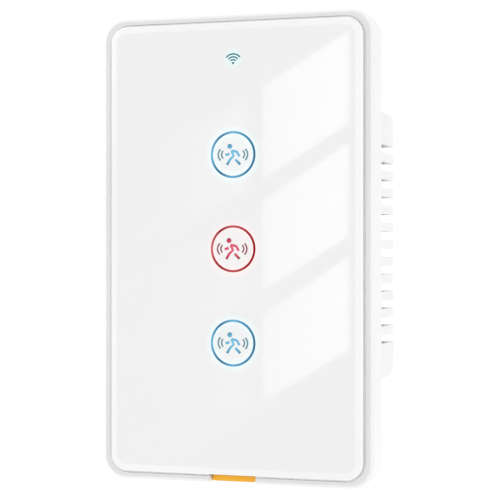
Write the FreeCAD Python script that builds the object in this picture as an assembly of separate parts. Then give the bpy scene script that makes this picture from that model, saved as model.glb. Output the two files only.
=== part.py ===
import FreeCAD, Part
import math
import os

os.makedirs("parts", exist_ok=True)

Vector = FreeCAD.Vector

# Glass-fronted touch switch for a wall box. X runs to the right, Y runs into the wall and Z runs up.
# The origin is the middle of the two box screws, on the wall plane. All sizes are in millimetres.

# Front panel
panel_width = 72.5
panel_height = 120.0
panel_depth = 11.0            # from the wall to the front of the glass
panel_corner = 6.0
frame_wall = 1.8
side_lip = 2.5                # from the side of the panel to the edge of the glass
end_lip = 2.25
groove = 0.6                  # open line round the glass
edge_bevel = 0.7
rim_gap = 0.4                 # from the back rim of the frame to the wall
web_thick = 1.5

# Glass
glass_thick = 3.0
glass_corner = 4.75
glass_proud = 1.5             # how far the glass stands in front of the lip
bevel_width = 1.75
bevel_drop = 0.41
tape_thick = 0.3
tape_inset = 1.2
tape_strip = 5.0

# Touch keys and their lamps
key_count = 3
key_pitch = 24.0
key_well_radius = 7.0
status_drop = 10.45           # from the upper edge of the glass to the wireless lamp
status_well_radius = 1.7
guide_gap = 0.15
guide_relief = 0.1            # air between a light guide and the glass
leds_per_key = 4
led_circle = 5.0              # radius of the circle that the lamps of a key stand on
led_side = 1.6
led_height = 0.7
led_gap = 0.2

# Touch board
touch_side_room = 3.7         # from the board to the side wall of the frame
touch_thick = 1.2
touch_corner = 2.0
clip_count = 4
clip_pitch = 20.0
clip_width = 4.0
clip_gap = 0.1
clip_thick = 1.0
clip_barb = 0.6               # how far a clip reaches over the touch board
clip_lead = 1.4               # length of its sloping end
chip_height = 1.0
touch_chip_side = 7.0
touch_chip_x = 14.0

# Plug between the two boards
pin_count = 6
pin_pitch = 2.54
pin_side = 0.64
pin_bite = 4.5                # length of pin inside the socket
header_side = 2.5
strip_height = 2.5
socket_height = 8.5
socket_hole_gap = 0.1
header_drop = 12.0            # the plug lies this far under the middle key

# Steel mounting plate and the flange behind it
plate_side_room = 1.2         # from the plate to the side wall of the frame
plate_end_room = 2.2
plate_thick = 1.2
plate_corner = 4.0
plate_window_width = 40.0
plate_window_height = 40.0
plate_window_corner = 3.0
flange_thick = 1.8
flange_inset = 0.8
box_screw_spacing = 83.3
box_slot_radius = 2.2
box_slot_length = 6.5

# Snap hooks
hook_width = 5.0
hook_thick = 1.4
hook_land = 4.5               # from the end of the plate to the hooks
hook_clear = 0.9              # from the touch board to the hooks
barb_reach = 1.2
hook_gap = 0.2
hook_flex = 1.8               # room that a hook has to bend inwards
hook_tip_gap = 0.5            # from the tip of a hook to the wall
top_hook_x = 18.0
low_hook_x = 8.0
stop_count = 5
stop_pitch = 20.0
stop_width = 1.2
stop_gap = 0.05

# Release tab, its guides and its spring
tab_width = 11.7
tab_shift = -0.7              # the photograph shows the tab a little left of the middle
tab_side_gap = 0.75
tab_edge_inset = 0.25
tab_corner = 0.6
tab_face_gap = 0.1            # from the tab to the adhesive sheet in front of it
slide_gap = 0.15
slider_width = 22.0
slider_height = 4.7
slider_thick = 1.3
tab_overtravel = 0.3
stop_play = 0.05
leg_width = 4.0
rail_thick = 1.5
rail_lip = 1.1
lip_thick = 0.8
leaf_reach = 4.6              # from the middle of the leaf spring to each end
leaf_thick = 0.25
spring_rib = 1.2              # rib of the frame that the leaf spring bears on
spring_rib_width = 3.6

# Rear housing
housing_width = 64.5
housing_height = 72.6
housing_depth = 32.0          # from the wall to the back of the housing
housing_wall = 2.0
housing_corner = 3.0
housing_rise = 1.0            # middle of the housing above the middle of the panel
rear_bevel = 0.7
vent_count = 12
vent_pitch = 4.63
vent_height = 2.2
vent_start = 6.0              # from the wall to the front end of a vent
vent_wrap = 5.0               # how far a vent runs round onto the back
vent_rise = 0.25
boss_side = 5.6               # screw bosses fill the corners of the housing
cover_thick = 1.6
cover_gap = 0.2
cover_vent_count = 4
cover_vent_pitch = 4.0
cover_vent_width = 26.0
cover_vent_height = 1.6
pillar_side = 3.0
pillar_inset = 4.75           # from the side wall of the housing to a pillar
pillar_drop = 11.85           # from the upper edge of the power board to the upper pillars
pillar_rise = 8.35            # from its lower edge to the lower pillars
boss_bore_radius = 1.1
boss_bore_depth = 10.0
screw_hole_radius = 1.5       # in the steel plate, in front of each bore

# Power board and what stands on it
board_thick = 1.6
board_gap = 0.45
relay_count = 3
relay_width = 10.2
relay_length = 20.0
relay_height = 15.4
relay_row_gap = 0.35          # from the terminal block to the relays
relay_bevel = 0.6
transformer_drop = 15.85      # places along Z are counted from the nearer end of the board
core_width = 14.4
core_height = 12.0
core_thick = 5.2
core_yoke = 2.1
core_leg = 2.2
core_middle = 5.2
winding_gap = 0.1
winding_width = 10.4
bobbin_base = 1.8
bobbin_width = 15.0
bobbin_length = 14.0
storage_cap_radius = 4.0
storage_cap_height = 13.0
storage_cap_count = 2
storage_cap_drop = 13.85
film_cap_width = 15.5
film_cap_length = 8.0
film_cap_height = 13.0
film_cap_rise = 5.85          # from the terminal block
film_cap_bevel = 0.6
choke_radius = 3.4
choke_height = 9.0
choke_drop = 13.85
fuse_radius = 2.4
fuse_height = 8.0
fuse_rise = 15.85
varistor_radius = 3.8
varistor_thick = 3.4
varistor_lead = 0.5
varistor_rise = 15.85
power_chip_length = 6.0
power_chip_width = 5.0
power_chip_height = 1.6
power_chip_drop = 25.0
power_chip_pitch = 11.0
radio_x = -9.0
radio_drop = 19.85
radio_width = 18.0
radio_length = 24.0
radio_thick = 0.8
shield_margin = 1.0
shield_height = 2.2
shield_bevel = 0.4
antenna_length = 6.0

# Rising-cage terminals
pole_count = 5
pole_pitch = 7.62
cage_width = 6.2
cage_length = 6.2
cage_side = 0.7
cage_floor = 0.9
cage_roof = 1.5
cage_gap = 0.15
cage_travel = 2.5
cage_room = 0.4               # left over behind a cage that is fully raised
wire_room = 4.8               # from the floor of an open cage to its tang
tang_thick = 0.8
tang_gap = 0.2
tang_leg = 1.0
tang_leg_width = 2.8
tang_reach = 2.2              # from the cage to the leg of its tang
block_floor = 1.3
block_mouth = 1.8             # thickness of the wall that the wires go in through
block_shoulder = 1.6
block_side = 1.3
block_back_wall = 1.5
mouth_side = 4.6
terminal_screw_radius = 1.72
terminal_head_radius = 2.6
terminal_head_height = 2.4
terminal_head_sink = 1.6
terminal_well_gap = 0.2
terminal_play = 0.05
terminal_slot = 0.8
terminal_slot_depth = 1.2
block_sink = 0.4              # from the back of the block to the back of the housing
bay_gap = 0.3

over = 1.0                    # how far a cutting tool runs past the face that it cuts
solder_reach = 1.0            # how far leads stand out of the far side of a board

# Places along Y, from the glass back to the wall
glass_front_y = -panel_depth
glass_back_y = glass_front_y + glass_thick
lip_y = glass_front_y + glass_proud
web_front_y = glass_back_y + tape_thick
web_back_y = web_front_y + web_thick
touch_back_y = web_back_y + touch_thick
rim_y = -rim_gap
plate_back_y = -flange_thick
plate_front_y = plate_back_y - plate_thick
cover_back_y = plate_back_y + cover_thick
strip_back_y = touch_back_y + strip_height

# Places along Y, from the back of the housing forwards
block_height = (
    block_floor + cage_floor + wire_room + tang_thick + tang_gap + cage_roof + cage_travel
    + cage_room + block_shoulder + terminal_head_height + terminal_head_sink
)
block_back_y = housing_depth - block_sink
board_back_y = block_back_y - block_height
board_front_y = board_back_y - board_thick
socket_front_y = board_front_y - socket_height
pin_back_y = socket_front_y + pin_bite
floor_back_y = housing_depth - housing_wall

# Places along Y in a terminal
cage_front_y = board_back_y + block_floor
tang_front_y = cage_front_y + cage_floor + wire_room
tang_back_y = tang_front_y + tang_thick
cage_roof_y = tang_back_y + tang_gap
cage_back_y = cage_roof_y + cage_roof
cavity_back_y = cage_back_y + cage_travel + cage_room
shoulder_y = cavity_back_y + block_shoulder
head_back_y = shoulder_y + terminal_head_height

# Sizes that follow from those above
glass_width = panel_width - 2 * side_lip
glass_height = panel_height - 2 * end_lip
inner_width = panel_width - 2 * frame_wall
inner_height = panel_height - 2 * frame_wall
inner_corner = panel_corner - frame_wall
plate_width = inner_width - 2 * plate_side_room
plate_height = inner_height - 2 * plate_end_room
hook_outer_z = plate_height / 2 - hook_land
hook_inner_z = hook_outer_z - hook_thick
touch_width = inner_width - 2 * touch_side_room
touch_height = 2 * (hook_inner_z - hook_clear)
status_z = glass_height / 2 - status_drop
tab_travel = barb_reach + tab_overtravel
cavity_width = housing_width - 2 * housing_wall
cavity_height = housing_height - 2 * housing_wall
cavity_corner = housing_corner - housing_wall
flange_width = plate_width - 2 * flange_inset
flange_height = plate_height - 2 * flange_inset
boss_x = (cavity_width - boss_side) / 2
boss_z = (cavity_height - boss_side) / 2
header_z = -header_drop
pillar_x = cavity_width / 2 - pillar_inset
board_half = cavity_width / 2 - board_gap
board_low_z = housing_rise - cavity_height / 2 + board_gap
board_high_z = housing_rise + cavity_height / 2 - board_gap
transformer_z = board_high_z - transformer_drop
radio_z = board_high_z - radio_drop

# Places across a terminal, from the bottom of the housing up
block_low_z = housing_rise - housing_height / 2 + block_sink
cage_low_z = block_low_z + block_mouth + cage_gap
cage_high_z = cage_low_z + cage_length
screw_z = (cage_low_z + cage_high_z) / 2
tang_leg_z = cage_high_z + tang_reach
block_high_z = tang_leg_z + tang_leg + tang_gap + block_back_wall
block_width = (pole_count - 1) * pole_pitch + cage_width + 2 * cage_gap + 2 * block_side
mouth_front_y = cage_front_y + cage_floor + (wire_room - mouth_side) / 2


def outline(width, height, corner, y, x=0.0, z=0.0):
    """Closed wire of a rectangle with round corners, in a plane across Y."""
    reach_x = width / 2 - corner
    reach_z = height / 2 - corner
    centres = [
        Vector(x + reach_x, y, z + reach_z),
        Vector(x - reach_x, y, z + reach_z),
        Vector(x - reach_x, y, z - reach_z),
        Vector(x + reach_x, y, z - reach_z),
    ]
    arcs = []
    for turn, centre in enumerate(centres):
        points = []
        for degrees in (0, 45, 90):
            angle = math.radians(90 * turn + degrees)
            points.append(centre + Vector(corner * math.cos(angle), 0, corner * math.sin(angle)))
        arcs.append(points)
    edges = []
    for turn, points in enumerate(arcs):
        following = arcs[(turn + 1) % len(arcs)]
        edges.append(Part.Arc(points[0], points[1], points[2]).toShape())
        edges.append(Part.LineSegment(points[2], following[0]).toShape())
    return Part.Wire(edges)


def plate(width, height, front_y, back_y, corner, x=0.0, z=0.0):
    """Flat plate across Y with round corners."""
    face = Part.Face(outline(width, height, corner, front_y, x, z))
    return face.extrude(Vector(0, back_y - front_y, 0))


def block(low_x, high_x, low_y, high_y, low_z, high_z):
    return Part.makeBox(high_x - low_x, high_y - low_y, high_z - low_z, Vector(low_x, low_y, low_z))


def standing(width, length, front_y, back_y, x, z):
    """Block that stands on a board, with its middle at x and z."""
    return block(x - width / 2, x + width / 2, front_y, back_y, z - length / 2, z + length / 2)


def disc(radius, front_y, back_y, x=0.0, z=0.0):
    return Part.makeCylinder(radius, back_y - front_y, Vector(x, front_y, z), Vector(0, 1, 0))


def slot(radius, length, front_y, back_y, x, z):
    """Upright slot with round ends."""
    half = length / 2 - radius
    ends = [disc(radius, front_y, back_y, x, z - half), disc(radius, front_y, back_y, x, z + half)]
    return standing(2 * radius, 2 * half, front_y, back_y, x, z).fuse(ends)


def side_prism(points, low_x, high_x):
    """Prism along X from an outline of (y, z) points."""
    corners = [Vector(low_x, y, z) for y, z in points]
    face = Part.Face(Part.makePolygon(corners + corners[:1]))
    return face.extrude(Vector(high_x - low_x, 0, 0))


def edges_in_plane(shape, y):
    near = 0.001
    return [e for e in shape.Edges if abs(e.BoundBox.YMin - y) < near and abs(e.BoundBox.YMax - y) < near]


def edges_along_y(shape):
    near = 0.001
    return [e for e in shape.Edges if e.BoundBox.XLength < near and e.BoundBox.ZLength < near]


def rows(count, pitch, middle=0.0):
    """Evenly spaced places, from the lowest up."""
    return [middle + (number - (count - 1) / 2) * pitch for number in range(count)]


def spread(widths, low, high):
    """Middles of pieces of these widths, laid side by side from low to high with even gaps."""
    gap = (high - low - sum(widths)) / (len(widths) + 1)
    middles = []
    place = low
    for width in widths:
        middles.append(place + gap + width / 2)
        place += gap + width
    return middles


def corners_at(x, z, middle_z=0.0):
    return [(side * x, middle_z + end * z) for side in (-1, 1) for end in (-1, 1)]


def save(name, pieces):
    """Writes one node. A list of pieces becomes a group of separate solids."""
    shape = Part.makeCompound(pieces) if isinstance(pieces, list) else pieces
    shape.exportStep(f"parts/{name}.step")


# Front panel

key_places = rows(key_count, key_pitch)
pin_places = rows(pin_count, pin_pitch)


def glass_panel():
    """Glass with a shallow bevel all round its front."""
    shoulder_plane = glass_front_y + bevel_drop
    sheet = plate(glass_width, glass_height, shoulder_plane, glass_back_y, glass_corner)
    face_width = glass_width - 2 * bevel_width
    face_height = glass_height - 2 * bevel_width
    front = outline(face_width, face_height, glass_corner - bevel_width, glass_front_y)
    shoulder = outline(glass_width, glass_height, glass_corner, shoulder_plane)
    bevel = Part.makeLoft([front, shoulder], True, True)
    return sheet.fuse(bevel).removeSplitter()


def key_wells(radius, front_y, back_y):
    return [disc(radius, front_y, back_y, 0, z) for z in key_places]


def glass_tape():
    """Adhesive strip along the edge of the glass, as one closed loop."""
    width = glass_width - 2 * tape_inset
    height = glass_height - 2 * tape_inset
    corner = glass_corner - tape_inset
    sheet = plate(width, height, glass_back_y, web_front_y, corner)
    opening = plate(
        width - 2 * tape_strip, height - 2 * tape_strip, glass_back_y - over, web_front_y + over, corner / 2)
    return sheet.cut(opening)


def board_clip(side, z):
    """Springy clip at one edge of the touch board, with a barb over its back."""
    inner = touch_width / 2 + clip_gap
    outer = inner + clip_thick
    catch_y = touch_back_y + clip_gap / 2
    profile = [
        (outer, web_back_y),
        (inner, web_back_y),
        (inner, catch_y),
        (touch_width / 2 - clip_barb, catch_y),
        (inner, catch_y + clip_lead),
        (outer, catch_y + clip_lead),
    ]
    corners = [Vector(side * x, y, z - clip_width / 2) for x, y in profile]
    face = Part.Face(Part.makePolygon(corners + corners[:1]))
    return face.extrude(Vector(0, 0, clip_width))


def panel_stop(side, z):
    """Rib that centres the touch board and rests on the steel plate."""
    inner = touch_width / 2 + 2 * guide_gap
    outer = inner_width / 2
    low_x, high_x = sorted((side * inner, side * outer))
    return block(low_x, high_x, web_back_y, plate_front_y - stop_gap, z - stop_width / 2, z + stop_width / 2)


slider_front_y = web_back_y + slide_gap
slider_back_y = slider_front_y + slider_thick
slider_low_z = -inner_height / 2 + stop_play
slider_high_z = slider_low_z + slider_height
rail_inner_x = slider_width / 2 + slide_gap
rib_high_z = -touch_height / 2 - guide_gap
rib_low_z = rib_high_z - spring_rib


def tab_rail(side):
    """Rail beside the slider of the tab, with a lip that holds it in."""
    low_z = -inner_height / 2
    high_z = slider_high_z + tab_travel
    lip_front_y = slider_back_y + slide_gap
    rail_x = sorted((side * rail_inner_x, side * (rail_inner_x + rail_thick)))
    lip_x = sorted((side * (rail_inner_x - rail_lip), side * rail_inner_x))
    rail = block(rail_x[0], rail_x[1], web_back_y, lip_front_y + lip_thick, low_z, high_z)
    lip = block(lip_x[0], lip_x[1], lip_front_y, lip_front_y + lip_thick, low_z, high_z)
    return rail.fuse(lip)


def front_frame():
    """Moulded frame: lip round the glass, web with wells, deep rim, clips, stops and tab guides."""
    body = plate(panel_width, panel_height, lip_y, rim_y, panel_corner)
    body = body.makeChamfer(edge_bevel, edges_in_plane(body, lip_y))
    pocket_width = glass_width + 2 * groove
    pocket_height = glass_height + 2 * groove
    pocket = plate(pocket_width, pocket_height, lip_y - over, web_front_y, glass_corner + groove)
    cavity = plate(inner_width, inner_height, web_back_y, rim_y + over, inner_corner)
    body = body.cut([pocket, cavity])
    added = [board_clip(side, z) for side in (-1, 1) for z in rows(clip_count, clip_pitch)]
    added += [panel_stop(side, z) for side in (-1, 1) for z in rows(stop_count, stop_pitch)]
    added += [tab_rail(side) for side in (-1, 1)]
    rib_half = spring_rib_width / 2
    added.append(block(-rib_half, rib_half, web_back_y, slider_back_y, rib_low_z, rib_high_z))
    body = body.fuse(added)
    wells = key_wells(key_well_radius, lip_y - over, web_back_y + over)
    wells.append(disc(status_well_radius, lip_y - over, web_back_y + over, 0, status_z))
    notch_low_x = tab_shift - tab_width / 2 - tab_side_gap
    notch_high_x = tab_shift + tab_width / 2 + tab_side_gap
    notch_high_z = slider_low_z + tab_travel + slide_gap
    notch_low_z = -panel_height / 2 - over
    notch_back_y = slider_back_y + slide_gap
    wells.append(block(notch_low_x, notch_high_x, lip_y - over, notch_back_y, notch_low_z, notch_high_z))
    return body.cut(wells).removeSplitter()


def snap_hook(x, end):
    """Hook with its barb turned away from the middle of the panel; end is 1 above and -1 below."""
    catch_y = plate_back_y + stop_gap
    tip_y = -hook_tip_gap
    barb_z = hook_outer_z + barb_reach
    profile = [
        (web_back_y, hook_inner_z),
        (web_back_y, hook_outer_z),
        (catch_y, hook_outer_z),
        (catch_y, barb_z),
        (tip_y, hook_outer_z),
        (tip_y, hook_inner_z),
    ]
    points = [(y, end * z) for y, z in profile]
    return side_prism(points, x - hook_width / 2, x + hook_width / 2)


def release_tab():
    """Tab face in the lower lip, on a slider whose two legs bear on the lower hooks."""
    face_y = web_front_y + tab_face_gap
    face_low_z = -panel_height / 2 + tab_edge_inset
    low_x, high_x = tab_shift - tab_width / 2, tab_shift + tab_width / 2
    foot = block(low_x, high_x, face_y, slider_back_y, face_low_z, slider_low_z)
    foot = foot.makeFillet(tab_corner, [e for e in edges_along_y(foot) if e.BoundBox.ZMax < slider_low_z])
    slider = block(
        -slider_width / 2, slider_width / 2, slider_front_y, slider_back_y, slider_low_z, slider_high_z)
    leg_high_z = -hook_outer_z - stop_play
    pieces = [foot]
    for side in (-1, 1):
        middle = side * low_hook_x
        leg_low_x, leg_high_x = middle - leg_width / 2, middle + leg_width / 2
        pieces.append(block(leg_low_x, leg_high_x, slider_front_y, slider_back_y, slider_low_z, leg_high_z))
    return slider.fuse(pieces).removeSplitter()


def leaf_arc(centre, radius, lean):
    """Arc over the middle of the panel, leaning by the same angle to both sides."""
    points = []
    for angle in (-lean, 0, lean):
        points.append(centre + Vector(radius * math.sin(angle), 0, radius * math.cos(angle)))
    return points


def tab_spring():
    """Bowed leaf: its ends stand on the slider and its crown bears on the rib of the frame."""
    low_z = slider_high_z + stop_play
    rise = rib_low_z - stop_play - leaf_thick - low_z
    radius = (leaf_reach ** 2 + rise ** 2) / (2 * rise)
    centre = Vector(0, slider_front_y, low_z + rise - radius)
    lean = math.asin(leaf_reach / radius)
    inner = leaf_arc(centre, radius, lean)
    outer = leaf_arc(centre, radius + leaf_thick, lean)
    edges = [
        Part.Arc(inner[0], inner[1], inner[2]).toShape(),
        Part.LineSegment(inner[2], outer[2]).toShape(),
        Part.Arc(outer[2], outer[1], outer[0]).toShape(),
        Part.LineSegment(outer[0], inner[0]).toShape(),
    ]
    return Part.Face(Part.Wire(edges)).extrude(Vector(0, slider_thick, 0))


def lamp_places():
    """Places of the lamps of every key, on the diagonals of its ring."""
    places = []
    for z in key_places:
        for number in range(leds_per_key):
            angle = 2 * math.pi * (number + 0.5) / leds_per_key
            places.append((led_circle * math.cos(angle), z + led_circle * math.sin(angle)))
    return places


def lamp(x, z, spare=0.0):
    side = led_side + 2 * spare
    return standing(side, side, web_back_y - led_height - spare, web_back_y, x, z)


def light_guides():
    """Clear discs on the touch board, with a pocket over each lamp."""
    discs = key_wells(key_well_radius - guide_gap, glass_back_y + guide_relief, web_back_y)
    pockets = [lamp(x, z, led_gap) for x, z in lamp_places()]
    return [body.cut(pockets) for body in discs]


def status_light_guide():
    radius = status_well_radius - guide_gap
    body = disc(radius, glass_back_y + guide_relief, web_back_y - led_height - led_gap, 0, status_z)
    foot = disc(radius, web_back_y - led_height - led_gap, web_back_y, 0, status_z)
    pocket = standing(led_side, 2 * radius, foot.BoundBox.YMin, web_back_y, 0, status_z)
    return body.fuse(foot.cut(pocket)).removeSplitter()


def touch_board():
    board = plate(touch_width, touch_height, web_back_y, touch_back_y, touch_corner)
    return board.cut([pin(x, web_back_y - over, touch_back_y + over, socket_hole_gap) for x in pin_places])


def touch_chips():
    chips = []
    for z in rows(key_count - 1, key_pitch):
        side = touch_chip_side
        chips.append(standing(side, side, touch_back_y, touch_back_y + chip_height, touch_chip_x, z))
    driver_z = rows(key_count - 1, key_pitch)[-1]
    width = 2 * touch_chip_side
    depth_y = touch_back_y + chip_height
    chips.append(standing(width, touch_chip_side, touch_back_y, depth_y, -touch_chip_x, driver_z))
    return chips


def pin(x, front_y, back_y, spare=0.0):
    side = pin_side + 2 * spare
    return standing(side, side, front_y, back_y, x, header_z)


def header_strip():
    length = pin_count * pin_pitch
    strip = standing(length, header_side, touch_back_y, strip_back_y, 0, header_z)
    return strip.cut([pin(x, touch_back_y - over, strip_back_y + over) for x in pin_places])


def header_pins():
    return [pin(x, web_back_y, pin_back_y) for x in pin_places]


# Base

pillar_rows = (board_low_z + pillar_rise, board_high_z - pillar_drop)
pillar_places = [(side * pillar_x, z) for side in (-1, 1) for z in pillar_rows]
boss_places = corners_at(boss_x, boss_z, housing_rise)
hook_places = [(side * top_hook_x, 1) for side in (-1, 1)] + [(side * low_hook_x, -1) for side in (-1, 1)]


def hook_window(x, end, front_y, back_y, outer_z):
    """Opening that a hook passes through, up to outer_z from the middle."""
    half = hook_width / 2 + hook_gap
    low_z, high_z = sorted((end * (hook_inner_z - hook_flex), end * outer_z))
    return block(x - half, x + half, front_y, back_y, low_z, high_z)


def box_slots(front_y, back_y):
    half = box_screw_spacing / 2
    return [slot(box_slot_radius, box_slot_length, front_y, back_y, 0, end * half) for end in (-1, 1)]


def mounting_plate():
    """Steel plate with box-screw slots, windows for the hooks and one large window for the plug."""
    front_y, back_y = plate_front_y - over, plate_back_y + over
    sheet = plate(plate_width, plate_height, plate_front_y, plate_back_y, plate_corner)
    cuts = box_slots(front_y, back_y)
    cuts.append(plate(plate_window_width, plate_window_height, front_y, back_y, plate_window_corner))
    cuts += [hook_window(x, end, front_y, back_y, hook_outer_z + hook_gap) for x, end in hook_places]
    cuts += [disc(screw_hole_radius, front_y, back_y, x, z) for x, z in boss_places]
    return sheet.cut(cuts)


def boss_notches(gap, front_y, back_y):
    """Square cuts that leave a gap round the bosses in the corners of the housing."""
    side = boss_side + 2 * gap
    return [standing(side, side, front_y, back_y, x, z) for x, z in boss_places]


def base_cover():
    """Lid in the mouth of the housing. Its posts hold the power board down."""
    width = cavity_width - 2 * cover_gap
    height = cavity_height - 2 * cover_gap
    lid = plate(width, height, plate_back_y, cover_back_y, cavity_corner, 0, housing_rise)
    posts = [standing(pillar_side, pillar_side, plate_back_y, board_front_y, x, z) for x, z in pillar_places]
    front_y, back_y = plate_back_y - over, cover_back_y + over
    cuts = boss_notches(cover_gap, front_y, back_y)
    opening_width = pin_count * pin_pitch + 2 * cover_gap
    opening_height = header_side + 2 * cover_gap
    cuts.append(standing(opening_width, opening_height, front_y, back_y, 0, header_z))
    for z in rows(cover_vent_count, cover_vent_pitch, -header_z / 2):
        cuts.append(standing(cover_vent_width, cover_vent_height, front_y, back_y, 0, z))
    return lid.fuse(posts).cut(cuts).removeSplitter()


def side_vent(side, z):
    """Vent in one side wall that runs round the rear corner onto the back."""
    low_z, high_z = z - vent_height / 2, z + vent_height / 2
    outer = side * (housing_width / 2 + over)
    wall_x = sorted((side * cavity_width / 2, outer))
    back_x = sorted((side * (housing_width / 2 - vent_wrap), outer))
    in_wall = block(wall_x[0], wall_x[1], vent_start, housing_depth + over, low_z, high_z)
    in_back = block(back_x[0], back_x[1], floor_back_y, housing_depth + over, low_z, high_z)
    return in_wall.fuse(in_back)


def rear_housing():
    """Moulded rear box: flange, corner bosses, board pillars, wrap-round vents and terminal bay."""
    shell = plate(housing_width, housing_height, 0, housing_depth, housing_corner, 0, housing_rise)
    shell = shell.makeChamfer(rear_bevel, edges_in_plane(shell, housing_depth))
    flange = plate(flange_width, flange_height, plate_back_y, 0, plate_corner - flange_inset)
    cavity = plate(
        cavity_width, cavity_height, plate_back_y - over, floor_back_y, cavity_corner, 0, housing_rise)
    body = shell.fuse(flange).cut(cavity)
    added = [standing(boss_side, boss_side, plate_back_y, floor_back_y, x, z) for x, z in boss_places]
    added += [
        standing(pillar_side, pillar_side, board_back_y, floor_back_y, x, z) for x, z in pillar_places]
    body = body.fuse(added)
    bore_back_y = plate_back_y + boss_bore_depth
    cuts = [disc(boss_bore_radius, plate_back_y - over, bore_back_y, x, z) for x, z in boss_places]
    cuts += box_slots(plate_back_y - over, over)
    window_z = hook_outer_z + barb_reach + hook_gap
    cuts += [hook_window(x, end, plate_back_y - over, over, window_z) for x, end in hook_places]
    for z in rows(vent_count, vent_pitch, housing_rise + vent_rise):
        cuts += [side_vent(side, z) for side in (-1, 1)]
    bay_half = block_width / 2 + bay_gap
    bay_low_z = housing_rise - housing_height / 2 - over
    bay_high_z = block_high_z + bay_gap
    cuts.append(
        block(-bay_half, bay_half, board_back_y - bay_gap, housing_depth + over, bay_low_z, bay_high_z))
    return body.cut(cuts).removeSplitter()


def power_board():
    height = cavity_height - 2 * board_gap
    board = plate(2 * board_half, height, board_front_y, board_back_y, cavity_corner, 0, housing_rise)
    notches = boss_notches(board_gap, board_front_y - over, board_back_y + over)
    return board.cut(notches + [tang_hole(x) for x in pole_places])


# The upper row of parts lies between the pillars, and the lower row between the walls.
upper_row = spread(
    [bobbin_width] + storage_cap_count * [2 * storage_cap_radius] + [2 * choke_radius],
    pillar_side / 2 - pillar_x, pillar_x - pillar_side / 2)
transformer_x = upper_row[0]
storage_cap_places = upper_row[1:-1]
choke_x = upper_row[-1]
lower_row = spread(relay_count * [relay_width] + [film_cap_width], -board_half, board_half)
relay_places = lower_row[:-1]
film_cap_x = lower_row[-1]
fuse_x, varistor_x = spread(
    [2 * fuse_radius, varistor_thick], film_cap_x - film_cap_width / 2, film_cap_x + film_cap_width / 2)
relay_z = block_high_z + relay_row_gap + relay_length / 2
film_cap_z = block_high_z + film_cap_rise
varistor_z = block_high_z + varistor_rise


def relay(x):
    """Sealed relay standing on the back of the power board."""
    body = standing(relay_width, relay_length, board_back_y, board_back_y + relay_height, x, relay_z)
    return body.makeChamfer(relay_bevel, edges_in_plane(body, board_back_y + relay_height))


transformer_base_y = board_back_y + bobbin_base
core_back_y = transformer_base_y + core_height


def transformer_core():
    """Two E-shaped ferrite halves, as one closed core with a middle leg."""
    body = standing(core_width, core_thick, transformer_base_y, core_back_y, transformer_x, transformer_z)
    windows = []
    for side in (-1, 1):
        inner = transformer_x + side * core_middle / 2
        outer = transformer_x + side * (core_width / 2 - core_leg)
        low_x, high_x = sorted((inner, outer))
        windows.append(block(
            low_x, high_x, transformer_base_y + core_yoke, core_back_y - core_yoke,
            transformer_z - core_thick, transformer_z + core_thick))
    return body.cut(windows)


def transformer_bobbin():
    """Wound spool round the middle leg, on a base with two feet beside the core."""
    x, z = transformer_x, transformer_z
    base = standing(bobbin_width, bobbin_length, board_back_y, transformer_base_y, x, z)
    window_half = core_width / 2 - core_leg - winding_gap
    front_y = transformer_base_y + core_yoke + winding_gap
    back_y = core_back_y - core_yoke - winding_gap
    spool = plate(2 * window_half, winding_width, front_y, back_y, window_half / 2, x, z)
    leg_side = core_middle + 2 * winding_gap
    leg = standing(leg_side, core_thick + 2 * winding_gap, front_y - over, back_y + over, x, z)
    feet = []
    for end in (-1, 1):
        inner = z + end * (core_thick / 2 + winding_gap)
        outer = z + end * winding_width / 2
        low_z, high_z = sorted((inner, outer))
        foot_half = window_half / 2
        feet.append(block(x - foot_half, x + foot_half, transformer_base_y, front_y, low_z, high_z))
    return base.fuse(feet + [spool.cut(leg)]).removeSplitter()


def can(radius, height, x, z):
    """Round part that stands on the back of the power board."""
    return disc(radius, board_back_y, board_back_y + height, x, z)


def film_capacitor():
    top_y = board_back_y + film_cap_height
    body = standing(film_cap_width, film_cap_length, board_back_y, top_y, film_cap_x, film_cap_z)
    return body.makeChamfer(film_cap_bevel, edges_in_plane(body, top_y))


def varistor():
    """Round disc on edge, with two leads down through the board."""
    middle_y = board_back_y + varistor_lead + varistor_radius
    start = Vector(varistor_x - varistor_thick / 2, middle_y, varistor_z)
    body = Part.makeCylinder(varistor_radius, varistor_thick, start, Vector(1, 0, 0))
    leads = []
    for z in rows(2, varistor_radius, varistor_z):
        leads.append(standing(pin_side, pin_side, board_back_y, middle_y, varistor_x, z))
    return body.fuse(leads).removeSplitter()


def power_chips():
    chips = []
    top_y = board_back_y + power_chip_height
    z = board_high_z - power_chip_drop
    for x in rows(2, power_chip_pitch, film_cap_x):
        chips.append(standing(power_chip_length, power_chip_width, board_back_y, top_y, x, z))
    return chips


def header_socket():
    length = pin_count * pin_pitch
    body = standing(length, header_side, socket_front_y, board_front_y, 0, header_z)
    hole_back_y = board_front_y - over
    return body.cut([pin(x, socket_front_y - over, hole_back_y, socket_hole_gap) for x in pin_places])


radio_front_y = board_front_y - radio_thick


def radio_board():
    return standing(radio_width, radio_length, radio_front_y, board_front_y, radio_x, radio_z)


def radio_shield():
    """Pressed can over the chips of the radio, clear of the aerial at its upper end."""
    width = radio_width - 2 * shield_margin
    length = radio_length - 2 * shield_margin - antenna_length
    low_z = radio_z - radio_length / 2 + shield_margin
    front_y = radio_front_y - shield_height
    body = standing(width, length, front_y, radio_front_y, radio_x, low_z + length / 2)
    return body.makeChamfer(shield_bevel, edges_in_plane(body, front_y))


# Terminals

pole_places = rows(pole_count, pole_pitch)


def tang_hole(x):
    half = tang_leg_width / 2 + tang_gap
    low_z, high_z = tang_leg_z - tang_gap, tang_leg_z + tang_leg + tang_gap
    return block(x - half, x + half, board_front_y - over, board_back_y + over, low_z, high_z)


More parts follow.
